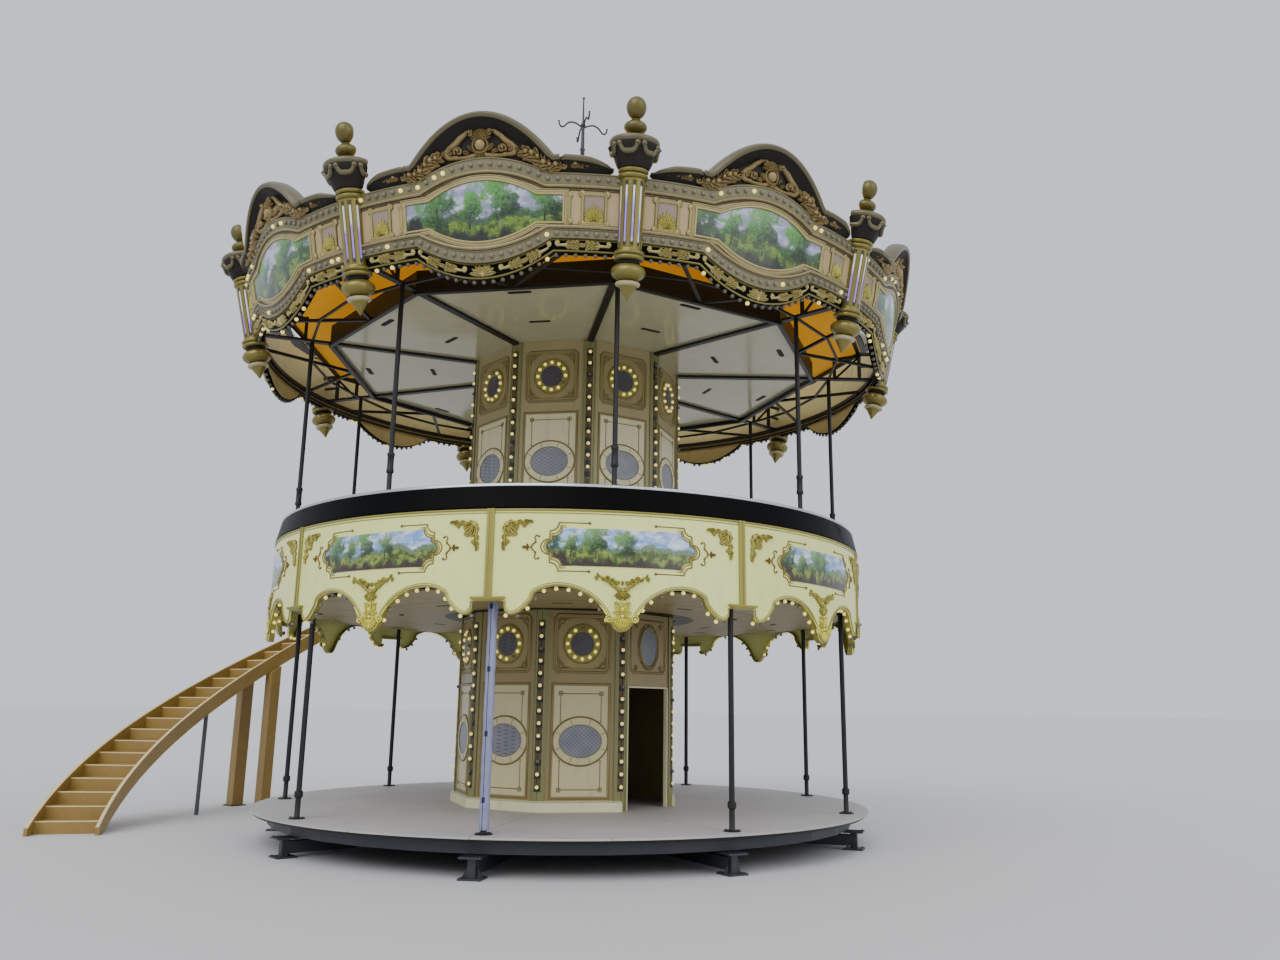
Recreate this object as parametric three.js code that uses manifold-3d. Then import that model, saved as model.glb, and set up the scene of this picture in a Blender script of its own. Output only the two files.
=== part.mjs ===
// Double-deck fairground carousel with nine bays, in millimetres, +Z up.
// The origin is on the ground, on the axis that the carousel turns about.
// Bearings are in degrees: 0 faces -Y, the front, and they grow towards +X.
import * as THREE from 'three';
import { mergeVertices } from 'three/addons/utils/BufferGeometryUtils.js';
import Module from 'manifold-3d';

const wasm = await Module();
wasm.setup();

// Layout
const BAYS = 9;
const BAY_ANGLE = 360 / BAYS;
const UPPER_START = 0;
const LOWER_START = BAY_ANGLE / 2;
const LOWER_TURN = 1;
const GAP = 0.3;
const FACET_GAP = 0.8;
const SUPPORT_GAP = 1.6;

// Heights of the storeys
const PLATFORM_TOP = 450;
const PLATFORM_THICKNESS = 60;
const LOWER_CEILING = 3150;
const FASCIA_TOP = 4050;
const DECK_TOP = 4360;
const DECK_THICKNESS = 120;
const BEAM_BOTTOM = 7110;
const BEAM_TOP = 7150;

// Radii
const PLATFORM_RADIUS = 4420;
const LOWER_POST_RING = 4150;
const LOWER_CEILING_RADIUS = 4100;
const FASCIA_RADIUS = 4400;
const DECK_RADIUS = 4330;
const DECK_SLAB_RADIUS = 4230;
const POLE_RING = 4136;
const CHORD_RING = 3870;
const UPPER_CEILING_RADIUS = 3860;
const CORE_RADIUS = 1665;
const UPPER_CORE_RADIUS = 1660;

// Ground frame and turning frame
const HUB_RADIUS = 520;
const FRAME_BOTTOM = 250;
const FRAME_DEPTH = PLATFORM_TOP - PLATFORM_THICKNESS - FRAME_BOTTOM;
const RUNNING_GAP = 10;
const ARM_WIDTH = 120;
const ARM_BOTTOM = 50;
const ARM_TOP = 190;
const JACK_RING = 4250;
const JACK_PLATE = 260;

// Crown: leaning boards between leaning posts
const CROWN_Z = 7020;
const CROWN_RADIUS = 4940;
const CROWN_LEAN = 0.203;
const BOARD_THICKNESS = 100;
const BOARD_HALF_LENGTH = 1530;
const POST_LEAN = 0.22;
const POST_BACK = 35;

// Roof
const ROOF_RIM_Z = 7600;
const ROOF_RIM_RADIUS = 4680;
const EAVES_RING = 4650;
const ROOF_APEX_Z = 10600;
const MAST_TOP = 12250;

// Stair: a curved flight in two lengths, from the ground to the upper deck
const STAIR_CENTRE = [-1996, 579];
const STAIR_RADIUS = 4990;
const STAIR_START = 183.65;
const STAIR_WIDTH = 950;
const RISERS = 25;
const LOWER_TREADS = 10;
const GOING = 311;
const RISE = DECK_TOP / RISERS;
const FIRST_RISER_RUN = 240;
const STRINGER = 45;
const STRINGER_ABOVE = 70;
const STRINGER_BELOW = 190;
const LANDING_THICKNESS = 120;
const LANDING_GAP = 40;
const TREAD = 8;
const RISER = 8;
const LEG_RUN = 4620;
const LEG_SIZE = 200;
const PROP_RUN = 3150;
const PROP_SIZE = 50;

// Finishes
const FINISH = {
  cream: { color: 0xdcd7aa, roughness: 0.45, metalness: 0 },
  coreCream: { color: 0xc8c3a0, roughness: 0.5, metalness: 0 },
  crown: { color: 0xaa9b73, roughness: 0.5, metalness: 0.1 },
  crownPost: { color: 0xaaa56e, roughness: 0.45, metalness: 0.1 },
  black: { color: 0x141618, roughness: 0.4, metalness: 0.3 },
  greySteel: { color: 0x55585c, roughness: 0.5, metalness: 0.5 },
  platform: { color: 0xa09b96, roughness: 0.6, metalness: 0 },
  deckRim: { color: 0x141618, roughness: 0.35, metalness: 0.2 },
  ceiling: { color: 0xa8a294, roughness: 0.3, metalness: 0 },
  roof: { color: 0xe0961e, roughness: 0.6, metalness: 0 },
  stair: { color: 0xaa823c, roughness: 0.55, metalness: 0 },
  iron: { color: 0x3a3c40, roughness: 0.5, metalness: 0.6 },
};

const carousel = new THREE.Group();
carousel.name = 'fairground_carousel';

function addPiece(name, geometry, finish) {
  const material = new THREE.MeshStandardMaterial(FINISH[finish]);
  const mesh = new THREE.Mesh(geometry, material);
  mesh.name = name;
  carousel.add(mesh);
  return mesh;
}

const radians = (degrees) => THREE.MathUtils.degToRad(degrees);
const degrees = (angle) => THREE.MathUtils.radToDeg(angle);

function onBearing(radius, bearing, z) {
  const angle = radians(bearing);
  return new THREE.Vector3(radius * Math.sin(angle), -radius * Math.cos(angle), z);
}

// A closed mesh with shared corners, as the solid kernel needs it
function welded(geometry) {
  const copy = geometry.clone();
  copy.deleteAttribute('normal');
  copy.deleteAttribute('uv');
  return mergeVertices(copy, 1e-3);
}

function toSolid(geometry) {
  const merged = welded(geometry);
  const mesh = new wasm.Mesh({
    numProp: 3,
    vertProperties: new Float32Array(merged.attributes.position.array),
    triVerts: new Uint32Array(merged.index.array),
  });
  return new wasm.Manifold(mesh);
}

function toGeometry(solid) {
  const mesh = solid.getMesh();
  const geometry = new THREE.BufferGeometry();
  geometry.setAttribute('position', new THREE.BufferAttribute(mesh.vertProperties, 3));
  geometry.setIndex(new THREE.BufferAttribute(mesh.triVerts, 1));
  geometry.computeVertexNormals();
  return geometry;
}

function fuse(pieces) {
  const solids = pieces.map(toSolid);
  return toGeometry(solids.reduce((whole, next) => whole.add(next)));
}

function signedVolume(points, faces) {
  let volume = 0;
  const cross = new THREE.Vector3();
  for (const [a, b, c] of faces) {
    cross.crossVectors(points[b], points[c]);
    volume += points[a].dot(cross) / 6;
  }
  return volume;
}

function fromFaces(points, faces) {
  const flip = signedVolume(points, faces) < 0;
  const index = faces.flatMap(([a, b, c]) => (flip ? [a, c, b] : [a, b, c]));
  const geometry = new THREE.BufferGeometry();
  const places = points.flatMap((point) => [point.x, point.y, point.z]);
  geometry.setAttribute('position', new THREE.Float32BufferAttribute(places, 3));
  geometry.setIndex(index);
  geometry.computeVertexNormals();
  return geometry;
}

// A body that runs through a row of sections with equal numbers of corners.
// flatOutline gives the first section in two dimensions, for its end faces.
function loft(sections, flatOutline, closed = false) {
  const corners = sections[0].length;
  const points = sections.flat();
  const faces = [];
  const spans = closed ? sections.length : sections.length - 1;
  for (let i = 0; i < spans; i += 1) {
    const here = i * corners;
    const there = ((i + 1) % sections.length) * corners;
    for (let j = 0; j < corners; j += 1) {
      const next = (j + 1) % corners;
      faces.push([here + j, there + j, there + next]);
      faces.push([here + j, there + next, here + next]);
    }
  }
  if (!closed) {
    const last = (sections.length - 1) * corners;
    for (const [a, b, c] of THREE.ShapeUtils.triangulateShape(flatOutline, [])) {
      const turn = THREE.ShapeUtils.isClockWise(flatOutline);
      faces.push(turn ? [c, b, a] : [a, b, c]);
      faces.push(turn ? [last + a, last + b, last + c] : [last + c, last + b, last + a]);
    }
  }
  return fromFaces(points, faces);
}

// A loft along bearings, where sectionAt gives [radius, z] corners, anticlockwise
function bentBody(bearings, sectionAt, closed = false) {
  const sections = bearings.map((bearing) =>
    sectionAt(bearing).map(([radius, z]) => onBearing(radius, bearing, z)));
  const outline = sectionAt(bearings[0]).map(([radius, z]) => new THREE.Vector2(radius, z));
  return loft(sections, outline, closed);
}

function ringBody(corners, sides, start = 0) {
  const bearings = Array.from({ length: sides }, (_, i) => start + (i * 360) / sides);
  return bentBody(bearings, () => corners, true);
}

function rectangle(inner, outer, low, high) {
  return [[inner, low], [outer, low], [outer, high], [inner, high]];
}

// A round body about +Z from a [radius, z] outline that starts and ends on the axis
function turned(outline, sides) {
  const profile = outline.map(([radius, z]) => new THREE.Vector2(radius, z));
  const geometry = new THREE.LatheGeometry(profile, sides);
  geometry.rotateX(Math.PI / 2);
  const merged = welded(geometry);
  const index = Array.from(merged.index.array);
  const points = [];
  const place = merged.attributes.position;
  for (let i = 0; i < place.count; i += 1) {
    points.push(new THREE.Vector3().fromBufferAttribute(place, i));
  }
  const faces = [];
  for (let i = 0; i < index.length; i += 3) {
    const face = index.slice(i, i + 3);
    if (new Set(face).size === 3) faces.push(face);
  }
  return fromFaces(points, faces);
}

function moved(geometry, place) {
  return geometry.translate(place.x, place.y, place.z);
}

function block(width, depth, low, high, place, bearing) {
  const geometry = new THREE.BoxGeometry(width, depth, high - low);
  geometry.rotateZ(radians(bearing));
  return geometry.translate(place.x, place.y, (low + high) / 2);
}

// A straight bar along a bearing, from one radius to another
function radialBar(inner, outer, width, low, high, bearing) {
  const middle = onBearing((inner + outer) / 2, bearing, 0);
  return block(width, outer - inner, low, high, middle, bearing);
}

// A level bar with upright sides between the plan places of two points
function levelBar(from, to, width, low, high) {
  const span = new THREE.Vector3().subVectors(to, from);
  const geometry = new THREE.BoxGeometry(Math.hypot(span.x, span.y), width, high - low);
  geometry.rotateZ(Math.atan2(span.y, span.x));
  return geometry.translate((from.x + to.x) / 2, (from.y + to.y) / 2, (low + high) / 2);
}

function bearingsFrom(start) {
  return Array.from({ length: BAYS }, (_, i) => start + i * BAY_ANGLE);
}

// Ground frame: a centre turret, an arm under each post and a jack stand at its end
function groundFrame() {
  const top = FRAME_BOTTOM - RUNNING_GAP;
  const turret = turned(
    [[0, 0], [HUB_RADIUS + 180, 0], [HUB_RADIUS + 180, 30], [HUB_RADIUS, 60],
      [HUB_RADIUS, FRAME_BOTTOM - GAP], [0, FRAME_BOTTOM - GAP]], 24);
  const pieces = [turret];
  for (const bearing of bearingsFrom(LOWER_START)) {
    const stand = onBearing(JACK_RING, bearing, 0);
    pieces.push(radialBar(HUB_RADIUS - 40, JACK_RING, ARM_WIDTH, ARM_BOTTOM, ARM_TOP, bearing));
    pieces.push(block(JACK_PLATE, JACK_PLATE, 0, 20, stand, bearing));
    pieces.push(block(90, 90, 10, top - 10, stand, bearing));
    pieces.push(block(JACK_PLATE, JACK_PLATE, top - 20, top, stand, bearing));
  }
  return fuse(pieces);
}

function platformFrame() {
  const top = FRAME_BOTTOM + FRAME_DEPTH - GAP;
  const hub = turned([[0, FRAME_BOTTOM], [HUB_RADIUS, FRAME_BOTTOM], [HUB_RADIUS, top], [0, top]], 24);
  const rim = ringBody(rectangle(4060, 4180, FRAME_BOTTOM, top), 36);
  const arms = bearingsFrom(LOWER_START).map((bearing) =>
    radialBar(HUB_RADIUS - 40, 4120, 100, FRAME_BOTTOM + 2, top - 2, bearing));
  return fuse([hub, rim, ...arms]);
}

function platformDeck() {
  const low = PLATFORM_TOP - PLATFORM_THICKNESS;
  const lip = 25;
  return turned(
    [[0, low], [PLATFORM_RADIUS - lip, low], [PLATFORM_RADIUS, low + lip],
      [PLATFORM_RADIUS, PLATFORM_TOP], [0, PLATFORM_TOP]], 72);
}

function lowerPost() {
  const base = PLATFORM_TOP + GAP;
  const head = DECK_TOP - DECK_THICKNESS - GAP;
  return turned(
    [[0, base], [100, base], [100, base + 16], [34, base + 22], [34, base + 250],
      [52, base + 262], [52, base + 318], [34, base + 330], [34, head], [0, head]], 8);
}

// The walls of a nine-sided core, from one corner's bearing over a number of sides
function coreWall(circumradius, thickness, low, high, start, sides) {
  const inner = circumradius - thickness / Math.cos(radians(BAY_ANGLE / 2));
  const corners = rectangle(inner, circumradius, low, high);
  if (sides === BAYS) return ringBody(corners, BAYS, start);
  const bearings = Array.from({ length: sides + 1 }, (_, i) => start + i * BAY_ANGLE);
  return bentBody(bearings, () => corners);
}

const DOOR_BEARING = BAY_ANGLE;
const DOOR_WIDTH = 900;
const DOOR_TOP = PLATFORM_TOP + 1670;
const WALL = 40;
const WALL_FOOT = PLATFORM_TOP + GAP;
const WALL_HEAD = LOWER_CEILING - GAP;

function doorWall() {
  const corner = BAY_ANGLE / 2 - 0.02;
  const inner = CORE_RADIUS - WALL / Math.cos(radians(BAY_ANGLE / 2));
  const face = bentBody(
    [DOOR_BEARING - corner, DOOR_BEARING + corner],
    () => rectangle(inner, CORE_RADIUS, WALL_FOOT, WALL_HEAD));
  const depth = CORE_RADIUS * Math.cos(radians(BAY_ANGLE / 2));
  const hole = block(
    DOOR_WIDTH, 400, WALL_FOOT - 50, DOOR_TOP, onBearing(depth, DOOR_BEARING, 0), DOOR_BEARING);
  return toGeometry(toSolid(face).subtract(toSolid(hole)));
}

function lowerCeiling() {
  const high = LOWER_CEILING + 40;
  const edge = LOWER_CEILING_RADIUS;
  return turned([[0, LOWER_CEILING], [edge, LOWER_CEILING], [edge, high], [0, high]], 54);
}

function upperDeck() {
  const under = DECK_TOP - DECK_THICKNESS;
  const edge = DECK_SLAB_RADIUS - GAP;
  return turned([[0, under], [edge, under], [edge, DECK_TOP], [0, DECK_TOP]], 72);
}

// The deep tapered rim round the deck slab, which the fascia hangs from
function deckRim() {
  const foot = FASCIA_TOP + GAP;
  return ringBody(
    [[DECK_SLAB_RADIUS, foot], [FASCIA_RADIUS, foot], [DECK_RADIUS, DECK_TOP],
      [DECK_SLAB_RADIUS, DECK_TOP]], 72);
}

// The lower edge of a fascia bay, by the distance from the bay's middle
const FASCIA_EDGE = [
  [0, 2661], [90, 2705], [150, 2808], [200, 2890], [280, 2983], [390, 3068], [640, 3155],
  [775, 3162], [920, 3132], [1015, 3080], [1021, 3030], [1080, 2955], [1170, 2868],
  [1280, 2834], [1340, 2886], [1350, 2985],
];
const PILASTER_HALF = 45;

function fasciaBay(middle) {
  const end = radians(BAY_ANGLE / 2) * FASCIA_RADIUS - GAP;
  const pilasterStart = end - PILASTER_HALF;
  const foot = 2985;
  const half = [...FASCIA_EDGE, [pilasterStart, foot], [pilasterStart + 4, foot], [end, foot]];
  const edge = [...half.slice(1).reverse().map(([run, z]) => [-run, z]), ...half];
  const bearings = edge.map(([run]) => middle + degrees(run / FASCIA_RADIUS));
  const inner = FASCIA_RADIUS - 30;
  const sections = edge.map(([run, z], i) => {
    const proud = Math.abs(run) > pilasterStart + 2 ? 15 : 0;
    const face = FASCIA_RADIUS - 15 + proud;
    return rectangle(inner, face, z, FASCIA_TOP)
      .map(([radius, height]) => onBearing(radius, bearings[i], height));
  });
  const outline = rectangle(inner, FASCIA_RADIUS, foot, FASCIA_TOP)
    .map(([radius, height]) => new THREE.Vector2(radius, height));
  return loft(sections, outline);
}

function upperPole() {
  const base = DECK_TOP + GAP;
  return turned(
    [[0, base], [90, base], [90, base + 14], [32, base + 20], [32, base + 260],
      [48, base + 280], [48, base + 520], [32, base + 540], [32, BEAM_TOP - 10],
      [0, BEAM_TOP - 10]], 6);
}

// The height of the crown's lines, by the distance from the bay's middle
const bulge = (run, half, rise) => (Math.abs(run) < half ? rise * (1 - (run / half) ** 2) : 0);
const skirtFoot = (run) => 6980 - bulge(run, 850, 300);
const lowBandFoot = (run) => 7130 - bulge(run, 830, 270);
const lowBandHead = (run) => 7235 - bulge(run, 780, 235);
const pictureFoot = (run) => 7315 - bulge(run, 650, 205);
const pictureHead = (run) => 7620 + bulge(run, 650, 185);
const highBandFoot = (run) => 7740 + bulge(run, 750, 185);
const highBandHead = (run) => 7875 + bulge(run, 780, 195);
const crestHead = (run) => (Math.abs(run) < 900
  ? 8000 + bulge(run, 900, 590)
  : 8075 - 70 * ((Math.abs(run) - 900) / 630) ** 2);

const boardFace = (z) => CROWN_RADIUS + (z - CROWN_Z) * CROWN_LEAN;
const CROWN_RUNS = [0, 280, 540, 780, 885, 905, BOARD_HALF_LENGTH];
const crownBearing = (run) => degrees(run / 5000);

function boardSection(run) {
  const step = (z, proud) => [boardFace(z) + proud, z];
  const crest = crestHead(run);
  const lowMoulding = (lowBandHead(run) + pictureFoot(run)) / 2;
  const highMoulding = (pictureHead(run) + highBandFoot(run)) / 2;
  return [
    step(skirtFoot(run), -BOARD_THICKNESS),
    step(skirtFoot(run), -20),
    step(lowBandFoot(run), -20),
    step(lowBandFoot(run) + 4, 15),
    step(lowMoulding, 40),
    step(pictureFoot(run), -15),
    step(pictureHead(run), -15),
    step(highMoulding, 40),
    step(highBandHead(run), 15),
    step(highBandHead(run) + 4, -30),
    step(Math.max(crest - 130, highBandHead(run) + 10), -30),
    step(crest - 110, 100),
    step(crest - 50, 120),
    step(crest + 30, -60),
    step(crest + 30, -BOARD_THICKNESS),
  ];
}

function crownBoard(middle) {
  const runs = [...CROWN_RUNS.slice(1).reverse().map((run) => -run), ...CROWN_RUNS];
  const sections = runs.map((run) =>
    boardSection(run).map(([radius, z]) => onBearing(radius, middle + crownBearing(run), z)));
  const outline = boardSection(runs[0]).map(([radius, z]) => new THREE.Vector2(radius, z));
  return loft(sections, outline);
}

// A crown post: a half-round pilaster with a flat-backed urn and balls above and a drop
// below, on a back plate that fills the space between two boards
function crownPost(bearing) {
  const outline = [
    [0, -580], [104, -420], [152, -390], [140, -345], [210, -225], [135, -100],
    [187, -55], [187, 50], [146, 75], [154, 830], [182, 865], [182, 985],
    [222, 1080], [300, 1240], [300, 1335], [75, 1350], [136, 1482], [68, 1560], [108, 1650],
    [100, 1760], [0, 1820],
  ];
  const cut = new THREE.BoxGeometry(800, 365, 960).translate(0, POST_BACK + 182.5, 1420);
  const body = toGeometry(toSolid(turned(outline, 8)).subtract(toSolid(cut)));
  body.rotateX(Math.atan(POST_LEAN));
  body.rotateZ(radians(bearing));
  moved(body, onBearing(CROWN_RADIUS, bearing, CROWN_Z));
  const half = BAY_ANGLE / 2 - crownBearing(BOARD_HALF_LENGTH) - degrees(GAP / CROWN_RADIUS);
  const plateSection = () => [
    [boardFace(6980) - BOARD_THICKNESS, 6980], [boardFace(6980), 6980],
    [boardFace(7875), 7875], [boardFace(7875) - BOARD_THICKNESS, 7875],
  ];
  const plate = bentBody([bearing - half, bearing, bearing + half], plateSection);
  const behind = bentBody([bearing - 5, bearing, bearing + 5], () => [
    [4300, 6985], [boardFace(6985) - BOARD_THICKNESS, 6985],
    [boardFace(7960) - BOARD_THICKNESS, 7960], [4300, 7960],
  ]);
  const halfRound = toSolid(body).subtract(toSolid(behind));
  return toGeometry(halfRound.add(toSolid(plate)));
}

// The upper frame: poles, beams out to the crown posts, a chord under the ceiling's edge,
// the curved rail with its braces that the crown boards are fixed to, and the eaves
// chords on their uprights that the roof rests on
function upperFrame() {
  const pieces = [];
  const railZ = BEAM_TOP - 60;
  const railFace = boardFace(railZ) - BOARD_THICKNESS - FACET_GAP;
  pieces.push(ringBody(rectangle(railFace - 60, railFace, railZ, BEAM_TOP), 36));
  const inner = UPPER_CORE_RADIUS + GAP;
  const outer = boardFace(BEAM_BOTTOM) - BOARD_THICKNESS - SUPPORT_GAP;
  const eavesFoot = ROOF_RIM_Z - 60;
  const eavesHead = ROOF_RIM_Z - GAP;
  const postBack = boardFace(eavesFoot) - BOARD_THICKNESS - SUPPORT_GAP;
  const half = BAY_ANGLE / 2;
  for (const bearing of bearingsFrom(UPPER_START)) {
    const corner = onBearing(EAVES_RING, bearing, 0);
    const next = onBearing(EAVES_RING, bearing + BAY_ANGLE, 0);
    pieces.push(moved(upperPole(), onBearing(POLE_RING, bearing, 0)));
    pieces.push(radialBar(inner, outer, 70, BEAM_BOTTOM, BEAM_TOP, bearing));
    pieces.push(levelBar(
      onBearing(CHORD_RING, bearing, 0), onBearing(CHORD_RING, bearing + BAY_ANGLE, 0),
      70, BEAM_TOP - 72, BEAM_TOP - 2));
    pieces.push(block(56, 56, BEAM_TOP - 20, eavesHead - 10, corner, bearing));
    pieces.push(levelBar(corner, next, 60, eavesFoot, eavesHead));
    pieces.push(radialBar(EAVES_RING, postBack, 50, eavesFoot + 2, eavesHead - 2, bearing));
    const middle = onBearing(CHORD_RING * Math.cos(radians(half)), bearing + half, 0);
    for (const side of [-12.5, 12.5]) {
      const away = onBearing(railFace - 32, bearing + half + side, 0);
      pieces.push(levelBar(middle, away, 45, BEAM_TOP - 50, BEAM_TOP - 5));
    }
  }
  return fuse(pieces);
}

function upperCeiling() {
  const corners = bearingsFrom(UPPER_START).map((bearing) => onBearing(UPPER_CEILING_RADIUS, bearing, 0));
  const shape = new THREE.Shape(corners.map((corner) => new THREE.Vector2(corner.x, corner.y)));
  const geometry = new THREE.ExtrudeGeometry(shape, { depth: 20, bevelEnabled: false });
  return geometry.translate(0, 0, BEAM_TOP + GAP);
}

// The roof: nine flat sheets in a low pyramid, open below, with a flat cap for the mast
const ROOF_CAP_RADIUS = 90;
const ROOF_SHEET = 15;
const ROOF_CAP_Z = ROOF_APEX_Z - (ROOF_CAP_RADIUS * (ROOF_APEX_Z - ROOF_RIM_Z)) / ROOF_RIM_RADIUS;

function roof() {
  const outline = [
    [0, ROOF_CAP_Z - 60], [ROOF_CAP_RADIUS + 30, ROOF_CAP_Z - 60],
    [ROOF_RIM_RADIUS, ROOF_RIM_Z], [ROOF_RIM_RADIUS + 6, ROOF_RIM_Z + ROOF_SHEET],
    [ROOF_CAP_RADIUS, ROOF_CAP_Z + ROOF_SHEET], [0, ROOF_CAP_Z + ROOF_SHEET],
  ];
  return turned(outline, BAYS);
}

// The line of a mast arm, by the distance out from the mast and the height above its hub
const MAST_ARM = [
  [0, 0], [90, 60], [190, 95], [285, 50], [330, -30], [385, -55], [425, -5], [430, 60],
];

function roofMast() {
  const foot = ROOF_CAP_Z + ROOF_SHEET + GAP;
  const pole = turned(
    [[0, foot], [85, foot], [85, foot + 20], [42, foot + 60], [30, MAST_TOP - 560],
      [22, MAST_TOP - 540], [14, MAST_TOP - 40], [22, MAST_TOP - 20], [0, MAST_TOP]], 8);
  const pieces = [pole];
  const hubZ = MAST_TOP - 560;
  for (let i = 0; i < 4; i += 1) {
    const bearing = 15 + i * 90;
    const points = MAST_ARM.map(([out, up]) => onBearing(out, bearing, hubZ + up));
    const path = new THREE.CatmullRomCurve3(points);
    const section = new THREE.Shape(Array.from({ length: 5 }, (_, j) => new THREE.Vector2(
      13 * Math.cos((j * 2 * Math.PI) / 5), 13 * Math.sin((j * 2 * Math.PI) / 5))));
    pieces.push(new THREE.ExtrudeGeometry(
      section, { steps: 9, extrudePath: path, bevelEnabled: false }));
  }
  return fuse(pieces);
}

// Stair: a place on it by the run along its middle line and the side step from it
function stairPoint(run, side, z) {
  const angle = radians(STAIR_START) - run / STAIR_RADIUS;
  const radius = STAIR_RADIUS + side;
  return new THREE.Vector3(
    STAIR_CENTRE[0] + radius * Math.cos(angle), STAIR_CENTRE[1] + radius * Math.sin(angle), z);
}

const SLOPE = RISE / GOING;
const nosingLine = (run) => RISE + (run - FIRST_RISER_RUN) * SLOPE;

function stairPrism(runs, innerSide, outerSide, lowAt, highAt) {
  const sections = runs.map((run) => [
    stairPoint(run, innerSide, lowAt(run)), stairPoint(run, outerSide, lowAt(run)),
    stairPoint(run, outerSide, highAt(run)), stairPoint(run, innerSide, highAt(run)),
  ]);
  const outline = [[0, 0], [1, 0], [1, 1], [0, 1]].map(([x, y]) => new THREE.Vector2(x, y));
  return loft(sections, outline);
}

function stairFlight(firstTread, lastTread, startRun, endRun) {
  const half = STAIR_WIDTH / 2;
  const runs = [startRun];
  for (let i = firstTread; i <= lastTread; i += 1) {
    const run = FIRST_RISER_RUN + i * GOING;
    if (run > startRun + 20 && run < endRun - 20) runs.push(run);
  }
  runs.push(endRun);
  const head = (run) => nosingLine(run) + STRINGER_ABOVE;
  const foot = (run) => Math.max(0, nosingLine(run) - STRINGER_BELOW);
  const pieces = [
    stairPrism(runs, -half, -half + STRINGER, foot, head),
    stairPrism(runs, half - STRINGER, half, foot, head),
  ];
  pieces.push(stairSteps(firstTread, lastTread, endRun, half - STRINGER + 5));
  return fuse(pieces);
}

// The treads and risers of a flight as one folded sheet from stringer to stringer
function stairSteps(firstTread, lastTread, endRun, reach) {
  const upper = [];
  const lower = [];
  for (let i = firstTread; i <= lastTread; i += 1) {
    const run = FIRST_RISER_RUN + i * GOING;
    const top = (i + 1) * RISE;
    const back = i === lastTread ? endRun : run + GOING;
    const riserFoot = i === firstTread ? Math.max(0, top - RISE - 5) : top - RISE - TREAD;
    upper.push([run, i === firstTread ? riserFoot : top - RISE], [run, top]);
    if (i === lastTread) upper.push([back, top]);
    lower.push([run + RISER, riserFoot], [run + RISER, top - TREAD]);
    if (i === lastTread) lower.push([back, top - TREAD]);
  }
  const outline = [...lower, ...upper.reverse()];
  const section = (side) => outline.map(([run, z]) => stairPoint(run, side, z));
  const flat = outline.map(([run, z]) => new THREE.Vector2(run, z));
  return loft([section(-reach), section(reach)], flat);
}

const FLIGHT_BREAK = FIRST_RISER_RUN + LOWER_TREADS * GOING;
const FLIGHT_END = FIRST_RISER_RUN + (RISERS - 1) * GOING;

// A support under a stringer, with its head cut to the stringer's slope
function stairSupport(run, side, size) {
  const head = (place) => nosingLine(place) - STRINGER_BELOW - SUPPORT_GAP;
  return stairPrism([run - size / 2, run + size / 2], side - size / 2, side + size / 2, () => 0, head);
}

// The landing: from the stair's last riser to just outside the upper deck's rim
function stairLanding() {
  const half = STAIR_WIDTH / 2;
  const start = FLIGHT_END + GAP;
  const innerHead = stairPoint(start, -half, 0);
  const outerHead = stairPoint(start, half, 0);
  const ahead = new THREE.Vector3().subVectors(stairPoint(start + 1, 0, 0), stairPoint(start, 0, 0));
  ahead.normalize();
  const outerEnd = outerHead.clone().addScaledVector(ahead, 1000);
  const rim = DECK_RADIUS + LANDING_GAP;
  const bearingOf = (point) => degrees(Math.atan2(point.x, -point.y));
  const from = bearingOf(outerEnd);
  const to = bearingOf(innerHead);
  const turn = ((to - from + 540) % 360) - 180;
  const corners = [innerHead, outerHead, outerEnd];
  const steps = 5;
  for (let i = 0; i <= steps; i += 1) {
    corners.push(onBearing(rim, from + (turn * i) / steps, 0));
  }
  const shape = new THREE.Shape(corners.map((corner) => new THREE.Vector2(corner.x, corner.y)));
  const geometry = new THREE.ExtrudeGeometry(
    shape, { depth: LANDING_THICKNESS, bevelEnabled: false });
  return geometry.translate(0, 0, DECK_TOP - LANDING_THICKNESS);
}

// Fixed pieces
addPiece('ground_frame', groundFrame(), 'iron');
addPiece('stair_lower_flight', stairFlight(0, LOWER_TREADS - 1, 0, FLIGHT_BREAK - GAP), 'stair');
addPiece('stair_upper_flight', stairFlight(LOWER_TREADS, RISERS - 2, FLIGHT_BREAK, FLIGHT_END), 'stair');
addPiece('stair_landing', stairLanding(), 'stair');
const LEG_SIDE = STAIR_WIDTH / 2 - STRINGER / 2;
addPiece('stair_leg_inner', stairSupport(LEG_RUN, -LEG_SIDE, LEG_SIZE), 'stair');
addPiece('stair_leg_outer', stairSupport(LEG_RUN, LEG_SIDE, LEG_SIZE), 'stair');
addPiece('stair_prop', stairSupport(PROP_RUN, -LEG_SIDE, PROP_SIZE), 'greySteel');

// Turning pieces: the lower storey
addPiece('platform_frame', platformFrame(), 'iron');
addPiece('platform_deck', platformDeck(), 'platform');
bearingsFrom(LOWER_START + LOWER_TURN).forEach((bearing, i) => {
  addPiece(`lower_post_${i + 1}`, moved(lowerPost(), onBearing(LOWER_POST_RING, bearing, 0)), 'black');
});
const lowerWall = coreWall(
  CORE_RADIUS, WALL, WALL_FOOT, WALL_HEAD, DOOR_BEARING + BAY_ANGLE / 2, BAYS - 1);
addPiece('core_lower_wall', lowerWall, 'coreCream');
addPiece('core_door_wall', doorWall(), 'coreCream');
addPiece('lower_ceiling', lowerCeiling(), 'ceiling');
bearingsFrom(UPPER_START + LOWER_TURN).forEach((bearing, i) => {
  addPiece(`fascia_bay_${i + 1}`, fasciaBay(bearing), 'cream');
});

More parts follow.
